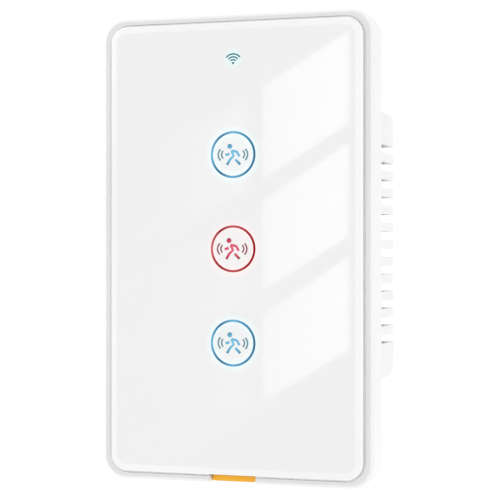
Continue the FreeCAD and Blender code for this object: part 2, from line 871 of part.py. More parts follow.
def pole_cuts(x):
    """Everything that one pole takes out of the terminal block."""
    cavity_half = cage_width / 2 + cage_gap
    tang_half = cage_width / 2 - cage_side
    leg_half = tang_leg_width / 2 + tang_gap
    cavity_high_z = cage_high_z + cage_gap
    leg_high_z = tang_leg_z + tang_leg + tang_gap
    well_radius = terminal_head_radius + terminal_well_gap
    neck_side = 2 * (terminal_screw_radius + terminal_well_gap)
    mouth_back_y = mouth_front_y + mouth_side
    cavity_low_z = cage_low_z - cage_gap
    return [
        block(
            x - cavity_half, x + cavity_half, cage_front_y - cage_gap, cavity_back_y,
            cavity_low_z, cavity_high_z),
        wire_mouth(x, mouth_front_y, mouth_back_y, cavity_low_z),
        standing(neck_side, neck_side, cavity_back_y - over, shoulder_y + over, x, screw_z),
        disc(well_radius, shoulder_y, block_back_y + over, x, screw_z),
        block(
            x - tang_half, x + tang_half, tang_front_y - tang_gap / 2, tang_back_y + tang_gap / 2,
            screw_z, leg_high_z),
        block(
            x - leg_half, x + leg_half, board_back_y - over, tang_back_y + tang_gap / 2,
            tang_leg_z - tang_gap, leg_high_z),
    ]


def wire_mouth(x, front_y, back_y, high_z):
    """Square wire mouth through the lower wall of the block."""
    half = mouth_side / 2
    return block(x - half, x + half, front_y, back_y, block_low_z - over, high_z + over)


def terminal_block():
    body = block(-block_width / 2, block_width / 2, board_back_y, block_back_y, block_low_z, block_high_z)
    cuts = []
    for x in pole_places:
        cuts += pole_cuts(x)
    return body.cut(cuts).removeSplitter()


def terminal_tang(x):
    """Flat strip inside the cage, with a leg down through the power board."""
    half = cage_width / 2 - cage_side - tang_gap
    leg_half = tang_leg_width / 2
    leg_high_z = tang_leg_z + tang_leg
    strip = block(x - half, x + half, tang_front_y, tang_back_y, cage_low_z, leg_high_z)
    leg = block(
        x - leg_half, x + leg_half, board_front_y - solder_reach, tang_back_y, tang_leg_z, leg_high_z)
    return strip.fuse(leg).removeSplitter()


def terminal_cage(x):
    """Steel loop round tang and wire, with the hole for its screw in the roof."""
    half = cage_width / 2
    inner = half - cage_side
    body = block(x - half, x + half, cage_front_y, cage_back_y, cage_low_z, cage_high_z)
    room = block(
        x - inner, x + inner, cage_front_y + cage_floor, cage_roof_y, cage_low_z - over, cage_high_z + over)
    bore = disc(terminal_screw_radius + terminal_play, cage_roof_y - over, cage_back_y + over, x, screw_z)
    return body.cut([room, bore])


def terminal_screw(x):
    """Captive screw: its head lies on the shoulder of the block and its end bears on the tang."""
    seat_y = shoulder_y + terminal_play
    head = disc(terminal_head_radius, seat_y, head_back_y, x, screw_z)
    shank = disc(terminal_screw_radius, tang_back_y + terminal_play, seat_y, x, screw_z)
    kerf = standing(
        2 * terminal_head_radius, terminal_slot, head_back_y - terminal_slot_depth, head_back_y + over,
        x, screw_z)
    return head.fuse(shank).cut(kerf)


save("glass_panel", glass_panel())
save("glass_tape", glass_tape())
save("front_frame", front_frame())
save("snap_hooks", [snap_hook(side * top_hook_x, 1) for side in (-1, 1)])
save("release_hooks", [snap_hook(side * low_hook_x, -1) for side in (-1, 1)])
save("release_tab", release_tab())
save("tab_spring", tab_spring())
save("light_guides", light_guides())
save("status_light_guide", status_light_guide())
save("touch_board", touch_board())
save("key_leds", [lamp(x, z) for x, z in lamp_places()])
save("status_led", lamp(0, status_z))
save("touch_chips", touch_chips())
save("header_strip", header_strip())
save("header_pins", header_pins())
save("mounting_plate", mounting_plate())
save("base_cover", base_cover())
save("rear_housing", rear_housing())
save("power_board", power_board())
save("relays", [relay(x) for x in relay_places])
save("transformer_core", transformer_core())
save("transformer_bobbin", transformer_bobbin())
storage_cap_z = board_high_z - storage_cap_drop
storage_caps = [can(storage_cap_radius, storage_cap_height, x, storage_cap_z) for x in storage_cap_places]
save("storage_capacitors", storage_caps)
save("film_capacitor", film_capacitor())
save("choke", can(choke_radius, choke_height, choke_x, board_high_z - choke_drop))
save("fuse", can(fuse_radius, fuse_height, fuse_x, block_high_z + fuse_rise))
save("varistor", varistor())
save("power_chips", power_chips())
save("header_socket", header_socket())
save("radio_board", radio_board())
save("radio_shield", radio_shield())
save("terminal_block", terminal_block())
save("terminal_tangs", [terminal_tang(x) for x in pole_places])
for number, x in enumerate(pole_places, start=1):
    save(f"terminal_cage_{number}", terminal_cage(x))
    save(f"terminal_screw_{number}", terminal_screw(x))
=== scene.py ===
import bmesh
import bpy
import math
from mathutils import Matrix, Vector


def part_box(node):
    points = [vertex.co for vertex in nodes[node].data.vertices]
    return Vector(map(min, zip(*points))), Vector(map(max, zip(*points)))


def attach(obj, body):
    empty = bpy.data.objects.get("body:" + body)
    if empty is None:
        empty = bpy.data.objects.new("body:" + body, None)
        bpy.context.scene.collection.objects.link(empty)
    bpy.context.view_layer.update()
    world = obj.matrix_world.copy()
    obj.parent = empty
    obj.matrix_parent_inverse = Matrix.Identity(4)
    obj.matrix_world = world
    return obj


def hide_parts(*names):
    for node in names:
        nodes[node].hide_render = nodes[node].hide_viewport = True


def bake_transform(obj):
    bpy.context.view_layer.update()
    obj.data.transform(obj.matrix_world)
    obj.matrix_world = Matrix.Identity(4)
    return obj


# Glass-fronted touch switch. X runs to the right, Y into the wall, Z up, all in metres.
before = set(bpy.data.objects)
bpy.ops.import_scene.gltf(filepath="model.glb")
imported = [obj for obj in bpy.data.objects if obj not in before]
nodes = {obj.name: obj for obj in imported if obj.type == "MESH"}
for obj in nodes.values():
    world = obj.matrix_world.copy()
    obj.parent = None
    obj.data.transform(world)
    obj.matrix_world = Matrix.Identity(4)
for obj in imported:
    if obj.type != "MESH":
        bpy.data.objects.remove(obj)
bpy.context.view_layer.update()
scene = bpy.context.scene
mm = 0.001
near = 0.02  # millimetres within which two measures count as the same
print("frame loaded,", len(nodes), "nodes")


def linearColour(code):
    channels = [int(code[start:start + 2], 16) / 255 for start in (1, 3, 5)]
    return [c / 12.92 if c <= 0.04045 else ((c + 0.055) / 1.055) ** 2.4 for c in channels] + [1.0]


def addNode(tree, kind, settings=None, values=None, links=None):
    node = tree.nodes.new("ShaderNode" + kind)
    for name, value in (settings or {}).items():
        setattr(node, name, value)
    for socket, value in (values or {}).items():
        node.inputs[socket].default_value = value
    for socket, source in (links or {}).items():
        tree.links.new(source, node.inputs[socket])
    return node


def emptyTree(owner):
    owner.use_nodes = True
    owner.node_tree.nodes.clear()
    return owner.node_tree


def startMaterial(name, colour, values=None):
    # a principled shader with its own plain values, and Object coordinates for its patterns
    material = bpy.data.materials.new(name)
    tree = emptyTree(material)
    shader = addNode(tree, "BsdfPrincipled", values={"Base Color": linearColour(colour), **(values or {})})
    addNode(tree, "OutputMaterial", links={"Surface": shader.outputs["BSDF"]})
    place = addNode(tree, "TexCoord").outputs["Object"]
    return material, tree, shader, place


def colourRamp(tree, factor, stops):
    ramp = addNode(tree, "ValToRGB", links={"Fac": factor})
    points = ramp.color_ramp.elements
    while len(points) < len(stops):
        points.new(0.5)
    for point, (position, colour) in zip(points, stops):
        point.position = position
        point.color = linearColour(colour)
    return ramp.outputs["Color"]


def addNoise(tree, place, size, detail):
    # cloudy pattern from a real size in millimetres
    values = {"Scale": 1 / (size * mm), "Detail": detail}
    return addNode(tree, "TexNoise", values=values, links={"Vector": place}).outputs["Fac"]


def addBump(tree, shader, height, depth):
    bump = addNode(tree, "Bump", values={"Strength": 1.0, "Distance": depth * mm}, links={"Height": height})
    tree.links.new(bump.outputs["Normal"], shader.inputs["Normal"])


def varyRoughness(tree, shader, factor, low, high):
    spread = addNode(tree, "MapRange", values={"To Min": low, "To Max": high}, links={"Value": factor})
    tree.links.new(spread.outputs["Result"], shader.inputs["Roughness"])


def addGrain(tree, shader, place, size, depth, low, high):
    # fine bump, and with it a roughness between low and high
    grain = addNoise(tree, place, size, 3.0)
    addBump(tree, shader, grain, depth)
    varyRoughness(tree, shader, grain, low, high)


def varyColour(tree, shader, place, size, low, high, detail=2.0):
    colour = colourRamp(tree, addNoise(tree, place, size, detail), [(0.35, low), (0.65, high)])
    tree.links.new(colour, shader.inputs["Base Color"])
    return colour


def finish(name, colours, values, size, depth, low, high, cloudSize=8.0):
    # a moulded, plated or dipped finish: colour that drifts a little in clouds, grain of a size and depth in
    # millimetres, and a roughness between low and high
    material, tree, shader, place = startMaterial(name, colours[0], values)
    if len(colours) > 1:
        varyColour(tree, shader, place, cloudSize, *colours)
    addGrain(tree, shader, place, size, depth, low, high)
    return material


# Marks on the glass, in millimetres: three keys one above the other and a small sign near the top
markSettings = {
    "pitch": 24.0, "ringRadius": 5.7, "ringWidth": 0.62, "ringSteps": 96, "figureWidth": 0.7,
    "figureReach": 3.2, "headPlace": (-0.78, 2.10), "headRadius": 0.65, "waveWidth": 0.43,
    "signHeight": 47.3, "signWidth": 0.42, "dotRadius": 0.3, "discDrop": 0.002, "discThick": 0.012,
    "press": 0.04, "roundSteps": 3, "glowReach": 8.0, "tintReach": 60.0, "haloHeight": 48.6, "haloReach": 3.1}
# Light that leaks into the print, painted into its colour. Glow: share of its reach from the middle of a key,
# full just past the ring
glowStops = [(0.0, "#686868"), (0.5, "#707070"), (0.66, "#ffffff"), (0.76, "#ffffff"), (0.95, "#000000")]
# Tint, painted light of the lamps: share of its reach up or down the glass, rose at the middle key, cyan at
# the outer two, plain beyond
tintStops = [(0.0, "#f5e8e7"), (0.199, "#f5e8e7"), (0.201, "#e8f3f4"), (0.59, "#e8f3f4"), (0.6, "#e6e6e6")]
# Halo, a painted glow: share of its reach from the middle of the sign
haloStops = [(0.0, "#ffffff"), (0.5, "#ffffff"), (0.85, "#000000")]


def shareOf(tree, value, reach):
    # a distance as a share of a reach in millimetres
    share = addNode(tree, "MapRange", values={"From Max": reach * mm}, links={"Value": value})
    return share.outputs["Result"]


def keyPlace(tree, place):
    # across, and up from the middle of the nearest key, with the distance from that middle
    split = addNode(tree, "SeparateXYZ", links={"Vector": place})
    half = markSettings["pitch"] / 2 * mm
    height = addNode(tree, "Math", {"operation": "WRAP"}, {1: half, 2: -half}, {0: split.outputs["Z"]})
    flat = addNode(tree, "CombineXYZ", links={"X": split.outputs["X"], "Y": height.outputs["Value"]})
    radius = addNode(tree, "VectorMath", {"operation": "LENGTH"}, links={0: flat.outputs["Vector"]})
    return split, height.outputs["Value"], radius.outputs["Value"]


def polishedGlass(name, colours, cloudSize, roughness, coatRoughness):
    # print or ground glass that drifts a little in colour, under a crisp coat
    values = {"Roughness": roughness, "IOR": 1.52, "Coat Weight": 1.0, "Coat Roughness": coatRoughness,
              "Coat IOR": 1.52}
    material, tree, shader, place = startMaterial(name, colours[0], values)
    return material, tree, shader, place, varyColour(tree, shader, place, cloudSize, *colours, 0.0)


# Toughened glass, polished, over white screen print: flat and smooth, a crisp coat over matt white
glassFace, tree, shader, place, printed = polishedGlass(
    "screenPrintedGlassFace", ["#e6e6e6", "#e7e7e7"], 80, 0.45, 0.03)
split, height, radius = keyPlace(tree, place)
# painted glow round each key, painted tint up and down the glass and a painted cyan halo round the sign,
# mixed into the print's colour
glow = colourRamp(tree, shareOf(tree, radius, markSettings["glowReach"]), glowStops)
level = addNode(tree, "Math", {"operation": "ABSOLUTE"}, links={0: split.outputs["Z"]})
tint = colourRamp(tree, shareOf(tree, level.outputs["Value"], markSettings["tintReach"]), tintStops)
mixed = addNode(tree, "Mix", {"data_type": "RGBA"}, links={0: glow, 6: printed, 7: tint})
flat = addNode(tree, "VectorMath", {"operation": "MULTIPLY"}, {1: (1, 0, 1)}, {0: place})
signMiddle = (0, 0, markSettings["haloHeight"] * mm)
away = addNode(tree, "VectorMath", {"operation": "DISTANCE"}, {1: signMiddle}, {0: flat.outputs["Vector"]})
halo = colourRamp(tree, shareOf(tree, away.outputs["Value"], markSettings["haloReach"]), haloStops)
cyan = linearColour("#e0f3f5")
mixed = addNode(tree, "Mix", {"data_type": "RGBA"}, {7: cyan}, {0: halo, 6: mixed.outputs[2]})
tree.links.new(mixed.outputs[2], shader.inputs["Base Color"])

# The same sheet where its bevel is ground and polished, painted brighter: a painted highlight, since it turns
# to the lights
glassBevelPaintedHighlight = polishedGlass("polishedGlassBevelPaintedHighlight", ["#ececec", "#f0f0f0"], 40, 0.3, 0.05)[0]

# The tiny polished arris at its outer edge, painted near white: a painted glint all round
glassArrisPaintedGlint = polishedGlass("polishedGlassArrisPaintedGlint", ["#f8f8f8", "#fdfdfd"], 40, 0.2, 0.03)[0]

# The rim of the sheet, ground: the eye looks along the print, so it is grey with a touch of green
glassRim, tree, shader, place = startMaterial(
    "groundGlassRim", "#f1f3f2", {"IOR": 1.52, "Coat Weight": 0.6, "Coat Roughness": 0.15})
addGrain(tree, shader, place, 0.12, 0.002, 0.2, 0.4)

# ABS, polished mould: half gloss with a faint ripple
frameAbs = finish("polishMouldedAbs", ["#f2f2f2", "#f5f5f5"], {"IOR": 1.53}, 0.9, 0.004, 0.24, 0.36, 30)

# The same moulding on its lip round the glass: duller, and painted greyer, a painted shade for the shadow of
# the proud glass
lipPaintedShadeAbs = finish("lipAbsPaintedShade", ["#dcdcdc", "#dfdfdf"], {"IOR": 1.53}, 0.15, 0.006, 0.45, 0.6, 30)

# Its chamfer: between the two, painted in a lighter shade than the lip, as painted light and shade
chamferPaintedShadeAbs = finish("chamferAbsPaintedLightAndShade", ["#ececec", "#efefef"], {"IOR": 1.53}, 0.3, 0.005, 0.38, 0.5, 30)

# Flame-retardant polycarbonate, spark-eroded mould: satin, fine even grain
housingPc = finish("sparkErodedPolycarbonate", ["#f0f0ef", "#f3f3f2"], {"IOR": 1.58},
                   0.22, 0.012, 0.42, 0.6, 25)

# Acetal, moulded in warm orange: slightly waxy, light gets a little way in
tabAcetal = finish("mouldedOrangeAcetal", ["#f4ad14", "#f6b21a"],
                   {"IOR": 1.48, "Subsurface Weight": 0.08, "Subsurface Scale": 0.0006},
                   0.3, 0.006, 0.34, 0.48)

# Spring steel strip, rolled bright: fine lines, sharp highlights
springSteel = finish("rolledSpringSteel", ["#aeb1b6", "#c2c5c9"], {"Metallic": 1.0}, 0.15, 0.002, 0.2, 0.34)
# Acrylic, clear moulding: smooth, light passes through
clearAcrylic = finish("mouldedClearAcrylic", ["#f4f8fa"], {"IOR": 1.49, "Transmission Weight": 0.6},
                      0.8, 0.001, 0.05, 0.12)
# Lamp package, white resin over a phosphor: warm, soft
lampBody = finish("phosphorLampResin", ["#efe9b0", "#f6f1c8"], {"IOR": 1.5}, 0.2, 0.003, 0.25, 0.35)
# Epoxy moulding compound round chips: near black, dull, a little grainy
blackResin = finish("mouldedEpoxyCompound", ["#222327", "#2b2c30"], {"IOR": 1.55}, 0.12, 0.006, 0.45, 0.65)
# Glass-filled nylon of the plug: black, faintly streaked
plugNylon = finish("mouldedGlassFilledNylon", ["#1d1e21", "#26272a"], {"IOR": 1.53},
                   0.35, 0.006, 0.35, 0.5, 3)
# Brass pins, flash gilt: yellow, bright
giltBrass = finish("flashGiltBrass", ["#d9b668", "#e6c880"], {"Metallic": 1.0}, 0.2, 0.001, 0.16, 0.28)
# Cold-rolled steel, zinc plated and passivated: bluish white, cloudy, half bright
zincSteel = finish("zincPlatedRolledSteel", ["#b9bec4", "#cdd1d4"], {"Metallic": 1.0},
                   0.5, 0.004, 0.24, 0.44, 4)
# Steel screws, nickel plated: warmer and brighter than the zinc
screwSteel = finish("nickelPlatedSteel", ["#c4c1ba", "#d1cec7"], {"Metallic": 1.0}, 0.25, 0.002, 0.18, 0.32)
# PBT relay cases, moulded in blue: half gloss
relayPbt = finish("mouldedBluePbt", ["#2a5ca2", "#2f64ac"], {"IOR": 1.55}, 0.25, 0.005, 0.32, 0.46)
# Ferrite, pressed and sintered: dark grey, matt, gritty
ferriteCore = finish("sinteredFerrite", ["#343538", "#404145"], {"IOR": 1.9}, 0.1, 0.01, 0.45, 0.65, 1.5)
# Polyester tape round the windings: yellow film with a thin gloss
yellowTape = finish("woundPolyesterTape", ["#e3c235", "#ebcd44"], {"IOR": 1.6, "Coat Weight": 0.4},
                    0.7, 0.004, 0.22, 0.36)
# Film capacitor box, PBT: warm yellow, half gloss
yellowBox = finish("mouldedYellowPbt", ["#dcb132", "#e4bb3c"], {"IOR": 1.55}, 0.25, 0.004, 0.3, 0.45)
# Phenolic fuse case: brown, dull
brownSleeve = finish("mouldedBrownPhenolic", ["#533022", "#633928"], {"IOR": 1.55}, 0.3, 0.006, 0.4, 0.55)
# Varistor disc, dipped in epoxy: blue, lumpy gloss
blueEpoxy = finish("dippedBlueEpoxy", ["#2b559a", "#3360a8"], {"IOR": 1.55, "Coat Weight": 0.5},
                   1.4, 0.06, 0.2, 0.34)
# Shield can, tin plated: soft silvery clouds
tinPlate = finish("tinPlatedSheet", ["#c6c9cb", "#d6d8d9"], {"Metallic": 1.0}, 0.6, 0.003, 0.2, 0.36, 3)
# Terminal block, moulded nylon in green: satin
greenNylon = finish("mouldedGreenNylon", ["#39925d", "#419d68"], {"IOR": 1.53}, 0.22, 0.008, 0.34, 0.5)
# Tangs, brass under tin: pale, slightly yellow
tinnedBrass = finish("tinnedBrassStrip", ["#c9c5b2", "#d4d0be"], {"Metallic": 1.0}, 0.3, 0.002, 0.22, 0.36)
# Foam tape under the glass: white, open, matt
whiteTape = finish("whiteAcrylicFoamTape", ["#e6e6e3", "#ecece9"], {}, 0.3, 0.02, 0.7, 0.9)
# Silicone bead round the glass: white, soft satin
siliconeBead = finish("curedWhiteSilicone", ["#e3e3e3", "#e8e8e8"], {"IOR": 1.41}, 0.6, 0.01, 0.38, 0.5)
# Capacitor sleeve, shrunk vinyl: dark, thin gloss
darkSleeve = finish("shrunkVinylSleeve", ["#1f2a3a", "#263244"], {"IOR": 1.53, "Coat Weight": 0.3},
                    0.8, 0.004, 0.24, 0.36)
# Bare drawn aluminium, capacitor tops: pale metal, soft
drawnAluminium = finish("drawnAluminium", ["#c8cacc", "#d6d8da"], {"Metallic": 1.0}, 0.2, 0.002, 0.24, 0.4, 2)
# Enamelled copper wire: red-brown metal under clear enamel
copperWire = finish("enamelledCopperWire", ["#b5652f", "#c77a3c"],
                    {"Metallic": 1.0, "Coat Weight": 0.6, "Coat Roughness": 0.1}, 0.3, 0.003, 0.2, 0.3)
# Solder joints: bright, slightly frosted metal
solder = finish("frostedSolder", ["#c3c6c9", "#d5d8da"], {"Metallic": 1.0}, 0.25, 0.006, 0.22, 0.38, 1)
# Ceramic of the small parts: tan and grey-brown, matt glaze
tanCeramic = finish("firedTanCeramic", ["#a98561", "#b9946e"], {"IOR": 1.6}, 0.2, 0.004, 0.35, 0.5)


# Printed boards: copper runs in a grid of 1.27 mm show paler, and stand a little proud, under the mask
boardSettings = {"grid": 1.27, "runWidth": 0.11, "runLength": 7.0, "relief": 0.03, "grain": 0.8}


def maskedBoard(name, colours, runColour):
    values = {"IOR": 1.5, "Coat Weight": 0.35, "Coat Roughness": 0.12}
    material, tree, shader, place = startMaterial(name, colours[0], values)
    upright = addNode(tree, "Mapping", values={"Rotation": (math.radians(90), 0, 0)}, links={"Vector": place})
    staggered = {"offset": 0.37, "offset_frequency": 3, "squash": 0.6, "squash_frequency": 2}
    grid = {"Color1": linearColour(colours[0]), "Color2": linearColour(colours[1]),
            "Mortar": linearColour(runColour), "Scale": 1 / (boardSettings["grid"] * mm),
            "Mortar Size": boardSettings["runWidth"], "Mortar Smooth": 0.1,
            "Brick Width": boardSettings["runLength"], "Row Height": 1.0}
    runs = addNode(tree, "TexBrick", staggered, grid, {"Vector": upright.outputs["Vector"]})
    tree.links.new(runs.outputs["Color"], shader.inputs["Base Color"])
    addBump(tree, shader, runs.outputs["Fac"], boardSettings["relief"])
    varyRoughness(tree, shader, addNoise(tree, place, boardSettings["grain"], 2.0), 0.26, 0.42)
    return material


# FR4 under solder mask, green and glossy; the radio board's mask is black
greenBoard = maskedBoard("solderMaskedFr4", ["#1b6a3d", "#1d7042"], "#2f8a55")
darkBoard = maskedBoard("blackMaskedFr4", ["#23282d", "#262b30"], "#343a40")

nodeMaterials = {
    "glass_panel": glassFace, "glass_tape": whiteTape, "front_frame": frameAbs, "snap_hooks": frameAbs,
    "release_hooks": frameAbs, "release_tab": tabAcetal, "tab_spring": springSteel,
    "light_guides": clearAcrylic, "status_light_guide": clearAcrylic, "touch_board": greenBoard,
    "key_leds": lampBody, "status_led": lampBody, "touch_chips": blackResin, "header_strip": plugNylon,
    "header_pins": giltBrass, "mounting_plate": zincSteel, "base_cover": housingPc, "rear_housing": housingPc,
    "power_board": greenBoard, "relays": relayPbt, "transformer_core": ferriteCore,
    "transformer_bobbin": yellowTape, "storage_capacitors": darkSleeve, "film_capacitor": yellowBox,
    "choke": blackResin, "fuse": brownSleeve, "varistor": blueEpoxy, "power_chips": blackResin,
    "header_socket": plugNylon, "radio_board": darkBoard, "radio_shield": tinPlate,
    "terminal_block": greenNylon, "terminal_tangs": tinnedBrass,
}
poles = range(1, 6)
for pole in poles:
    nodeMaterials[f"terminal_cage_{pole}"] = zincSteel
    nodeMaterials[f"terminal_screw_{pole}"] = screwSteel
for name, node in nodes.items():
    node.data.materials.clear()
    node.data.materials.append(nodeMaterials[name])
print("materials ready,", len(bpy.data.materials))


def finishPiece(shape, name, materials, body, replaced=(), smoothAngle=35, bend=None):
    # closes a bmesh into a piece that rides on a body, or, given a bend, has its place baked into its mesh
    # and rides on no body; edges sharper than the angle stay crisp
    mesh = bpy.data.meshes.new(name)
    for edge in shape.edges:
        edge.smooth = edge.calc_face_angle(math.pi) < math.radians(smoothAngle)
    for face in shape.faces:
        face.smooth = True
    shape.to_mesh(mesh)
    shape.free()
    for material in materials:
        mesh.materials.append(material)
    piece = bpy.data.objects.new(name, mesh)
    scene.collection.objects.link(piece)
    if bend:
        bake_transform(piece)
    elif body:
        normals = piece.modifiers.new("evenNormals", "WEIGHTED_NORMAL")
        normals.keep_sharp = True  # and large flat faces stay flat beside their rounds
        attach(piece, body)
    if replaced:
        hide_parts(*replaced)
    return piece


def onlyKind(items, kind):
    return [item for item in items if isinstance(item, kind)]


def paintFaces(verts, index):
    for vert in verts:
        for face in vert.link_faces:
            face.material_index = index


def bevelEdges(shape, edges, offset, segments):
    bmesh.ops.bevel(shape, geom=list(edges), offset=offset * mm, offset_type="OFFSET", affect="EDGES",
                    segments=segments, profile=0.5, material=-1, clamp_overlap=True)


def addBlock(shape, low, high, index=0, easing=0.0):
    # block between two corners in millimetres
    size = [(b - a) * mm for a, b in zip(low, high)]
    middle = [(a + b) / 2 * mm for a, b in zip(low, high)]
    place = Matrix.Translation(middle) @ Matrix.Diagonal(size + [1.0])
    made = bmesh.ops.create_cube(shape, size=1.0, matrix=place)
    paintFaces(made["verts"], index)
    if easing:
        bevelEdges(shape, {edge for vert in made["verts"] for edge in vert.link_edges}, easing, 1)


intoWall = Matrix.Rotation(math.radians(-90), 4, "X")  # turns a round form from Z to Y


def addRound(shape, start, radius, length, index=0, endRadius=None, segments=32, easing=0.0):
    # round bar in millimetres from a start point into the wall, a cone if its far end differs
    place = Matrix.Translation(Vector(start) * mm) @ intoWall @ Matrix.Translation((0, 0, length / 2 * mm))
    endRadius = radius if endRadius is None else endRadius
    made = bmesh.ops.create_cone(shape, cap_ends=True, cap_tris=False, segments=segments, radius1=radius * mm,
                                 radius2=endRadius * mm, depth=length * mm, matrix=place)
    paintFaces(made["verts"], index)
    if easing:
        caps = {face for vert in made["verts"] for face in vert.link_faces if len(face.verts) > 4}
        bevelEdges(shape, {edge for face in caps for edge in face.edges}, easing, 2)


def roundedSheet(low, high, corner, frontY, backY, segments):
    # upright sheet between two (x, z) corners, its front at frontY, with round corners
    shape = bmesh.new()
    points = [(low[0], low[1]), (high[0], low[1]), (high[0], high[1]), (low[0], high[1])]
    shape.faces.new([shape.verts.new((x, frontY, z)) for x, z in points])
    bmesh.ops.bevel(shape, geom=list(shape.verts), offset=corner, offset_type="OFFSET", affect="VERTICES",
                    segments=segments, profile=0.5, material=-1)
    grown = bmesh.ops.extrude_face_region(shape, geom=list(shape.faces), use_keep_orig=True)
    moved = onlyKind(grown["geom"], bmesh.types.BMVert)
    bmesh.ops.translate(shape, verts=moved, vec=(0, backY - frontY, 0))
    bmesh.ops.recalc_face_normals(shape, faces=shape.faces)
    return shape


def mergedCopy(name):
    # a CAD solid as one closed skin, its flat faces whole again, to half a degree
    shape = bmesh.new()
    shape.from_mesh(nodes[name].data)
    bmesh.ops.remove_doubles(shape, verts=shape.verts, dist=0.001 * mm)
    bmesh.ops.dissolve_limit(shape, angle_limit=math.radians(0.5), verts=shape.verts, edges=shape.edges)
    return shape


def easeEdges(shape, easing):
    # edges of more than 30 degrees eased, as a mould or a cutter leaves them
    bevelEdges(shape, [edge for edge in shape.edges if edge.calc_face_angle(0) > math.radians(30)], easing, 2)
    return shape


def boxMm(name):
    low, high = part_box(name)
    return low / mm, high / mm


def solidBoxes(name):
    # low and high corner of each loose solid of a node, in millimetres
    shape = mergedCopy(name)
    left, boxes = set(shape.verts), []
    while left:
        reached = [left.pop()]
        for vert in reached:
            for edge in vert.link_edges:
                other = edge.other_vert(vert)
                if other in left:
                    left.remove(other)
                    reached.append(other)
        spans = [[vert.co[axis] / mm for vert in reached] for axis in range(3)]
        boxes.append((Vector([min(span) for span in spans]), Vector([max(span) for span in spans])))
    shape.free()
    return boxes


# Glass panel: the sheet lies a hair behind the CAD face, so that the marks fit inside the same box
glassSettings = {"bevelWidth": 1.75, "bevelDrop": 0.41, "corner": 4.3, "cornerSteps": 14, "arris": 0.2,
                 "inkRoom": 0.015}
low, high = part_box("glass_panel")
glassFrontY = low.y + glassSettings["inkRoom"] * mm
shoulderY = glassFrontY + glassSettings["bevelDrop"] * mm
shape = roundedSheet((low.x, low.z), (high.x, high.z), glassSettings["corner"] * mm, shoulderY, high.y,
                     glassSettings["cornerSteps"])
rims = [edge for edge in shape.edges if edge.calc_face_angle(0) > math.radians(60)]
bevelEdges(shape, rims, glassSettings["arris"], 1)
front = [face for face in shape.faces if face.normal.y < -0.99 and len(face.verts) > 8]
bmesh.ops.inset_region(shape, faces=front,
                       thickness=(glassSettings["bevelWidth"] - glassSettings["arris"]) * mm,
                       depth=glassSettings["bevelDrop"] * mm, use_even_offset=True, use_boundary=True)
shape.normal_update()
for face in shape.faces:  # told apart by how squarely they face the room: front, bevel with its painted highlight, arris with its painted glint, rim and back
    if face.normal.y < -0.999:
        face.material_index = 0
    elif face.normal.y < -0.9:
        face.material_index = 1
    else:
        face.material_index = 3 if face.normal.y < -0.3 else 2
finishPiece(shape, "glassPanel", [glassFace, glassBevelPaintedHighlight, glassRim, glassArrisPaintedGlint], "panel", ["glass_panel"],
            smoothAngle=8)

# The photograph shows the tab a little further left than the CAD, in a closer notch. Sides of the notch in
# the CAD and as drawn, heights of its top and of the tab's foot, and how far the foot shifts.
tabSettings = {"notch": (-7.3, 5.9), "drawn": (-7.0, 5.48), "notchTop": -56.4, "footTop": -58.2,
               "shift": -0.3}

# Bead of silicone in the groove round the glass, open at the notch for the tab, with a stop at either end
beadSettings = {"radius": 0.33, "offset": 0.3, "drop": 0.58, "stopLength": 0.6, "stopFront": 0.35,
                "stopBack": 1.75, "cornerSteps": 10, "roundSteps": 4}
frameFrontY = boxMm("front_frame")[0].y
glassLow, glassHigh = boxMm("glass_panel")


def addCurve(shape, points, radius, resolution, closed=False):
    # a round wire through points in millimetres
    curve = bpy.data.curves.new("stroke", "CURVE")
    curve.dimensions = "3D"
    curve.bevel_depth = radius * mm
    curve.bevel_resolution = resolution
    curve.use_fill_caps = True
    spline = curve.splines.new("POLY")
    spline.points.add(len(points) - 1)
    for point, place in zip(spline.points, points):
        point.co = (*(Vector(place) * mm), 1)
    spline.use_cyclic_u = closed
    holder = bpy.data.objects.new("stroke", curve)
    mesh = bpy.data.meshes.new_from_object(holder)
    bpy.data.objects.remove(holder)
    bpy.data.curves.remove(curve)
    shape.from_mesh(mesh)
    bpy.data.meshes.remove(mesh)


def arcPoints(x, z, radius, middle, half, count=13):
    angles = [math.radians(middle - half + 2 * half * step / (count - 1)) for step in range(count)]
    return [(x + radius * math.cos(angle), z + radius * math.sin(angle)) for angle in angles]


cornerBend = glassSettings["corner"] + beadSettings["offset"]
sideX = glassHigh.x - glassSettings["corner"]
endZ = glassHigh.z - glassSettings["corner"]
leftEnd, rightEnd = tabSettings["drawn"]
lowerZ = -endZ - cornerBend
outline = [(rightEnd, lowerZ)]
for x, z, middle in [(sideX, -endZ, -45), (sideX, endZ, 45), (-sideX, endZ, 135), (-sideX, -endZ, 225)]:
    outline += arcPoints(x, z, cornerBend, middle, 45, beadSettings["cornerSteps"])
outline.append((leftEnd, lowerZ))
shape = bmesh.new()
addCurve(shape, [(x, frameFrontY + beadSettings["drop"], z) for x, z in outline], beadSettings["radius"],
         beadSettings["roundSteps"])
length, half = beadSettings["stopLength"], beadSettings["offset"]
stopFrontY, stopBackY = frameFrontY + beadSettings["stopFront"], frameFrontY + beadSettings["stopBack"]
for x in (leftEnd - length, rightEnd):
    addBlock(shape, (x, stopFrontY, lowerZ - half), (x + length, stopBackY, lowerZ + half))
finishPiece(shape, "glassBead", [siliconeBead], "panel", smoothAngle=50)
print("glass and its bead ready")


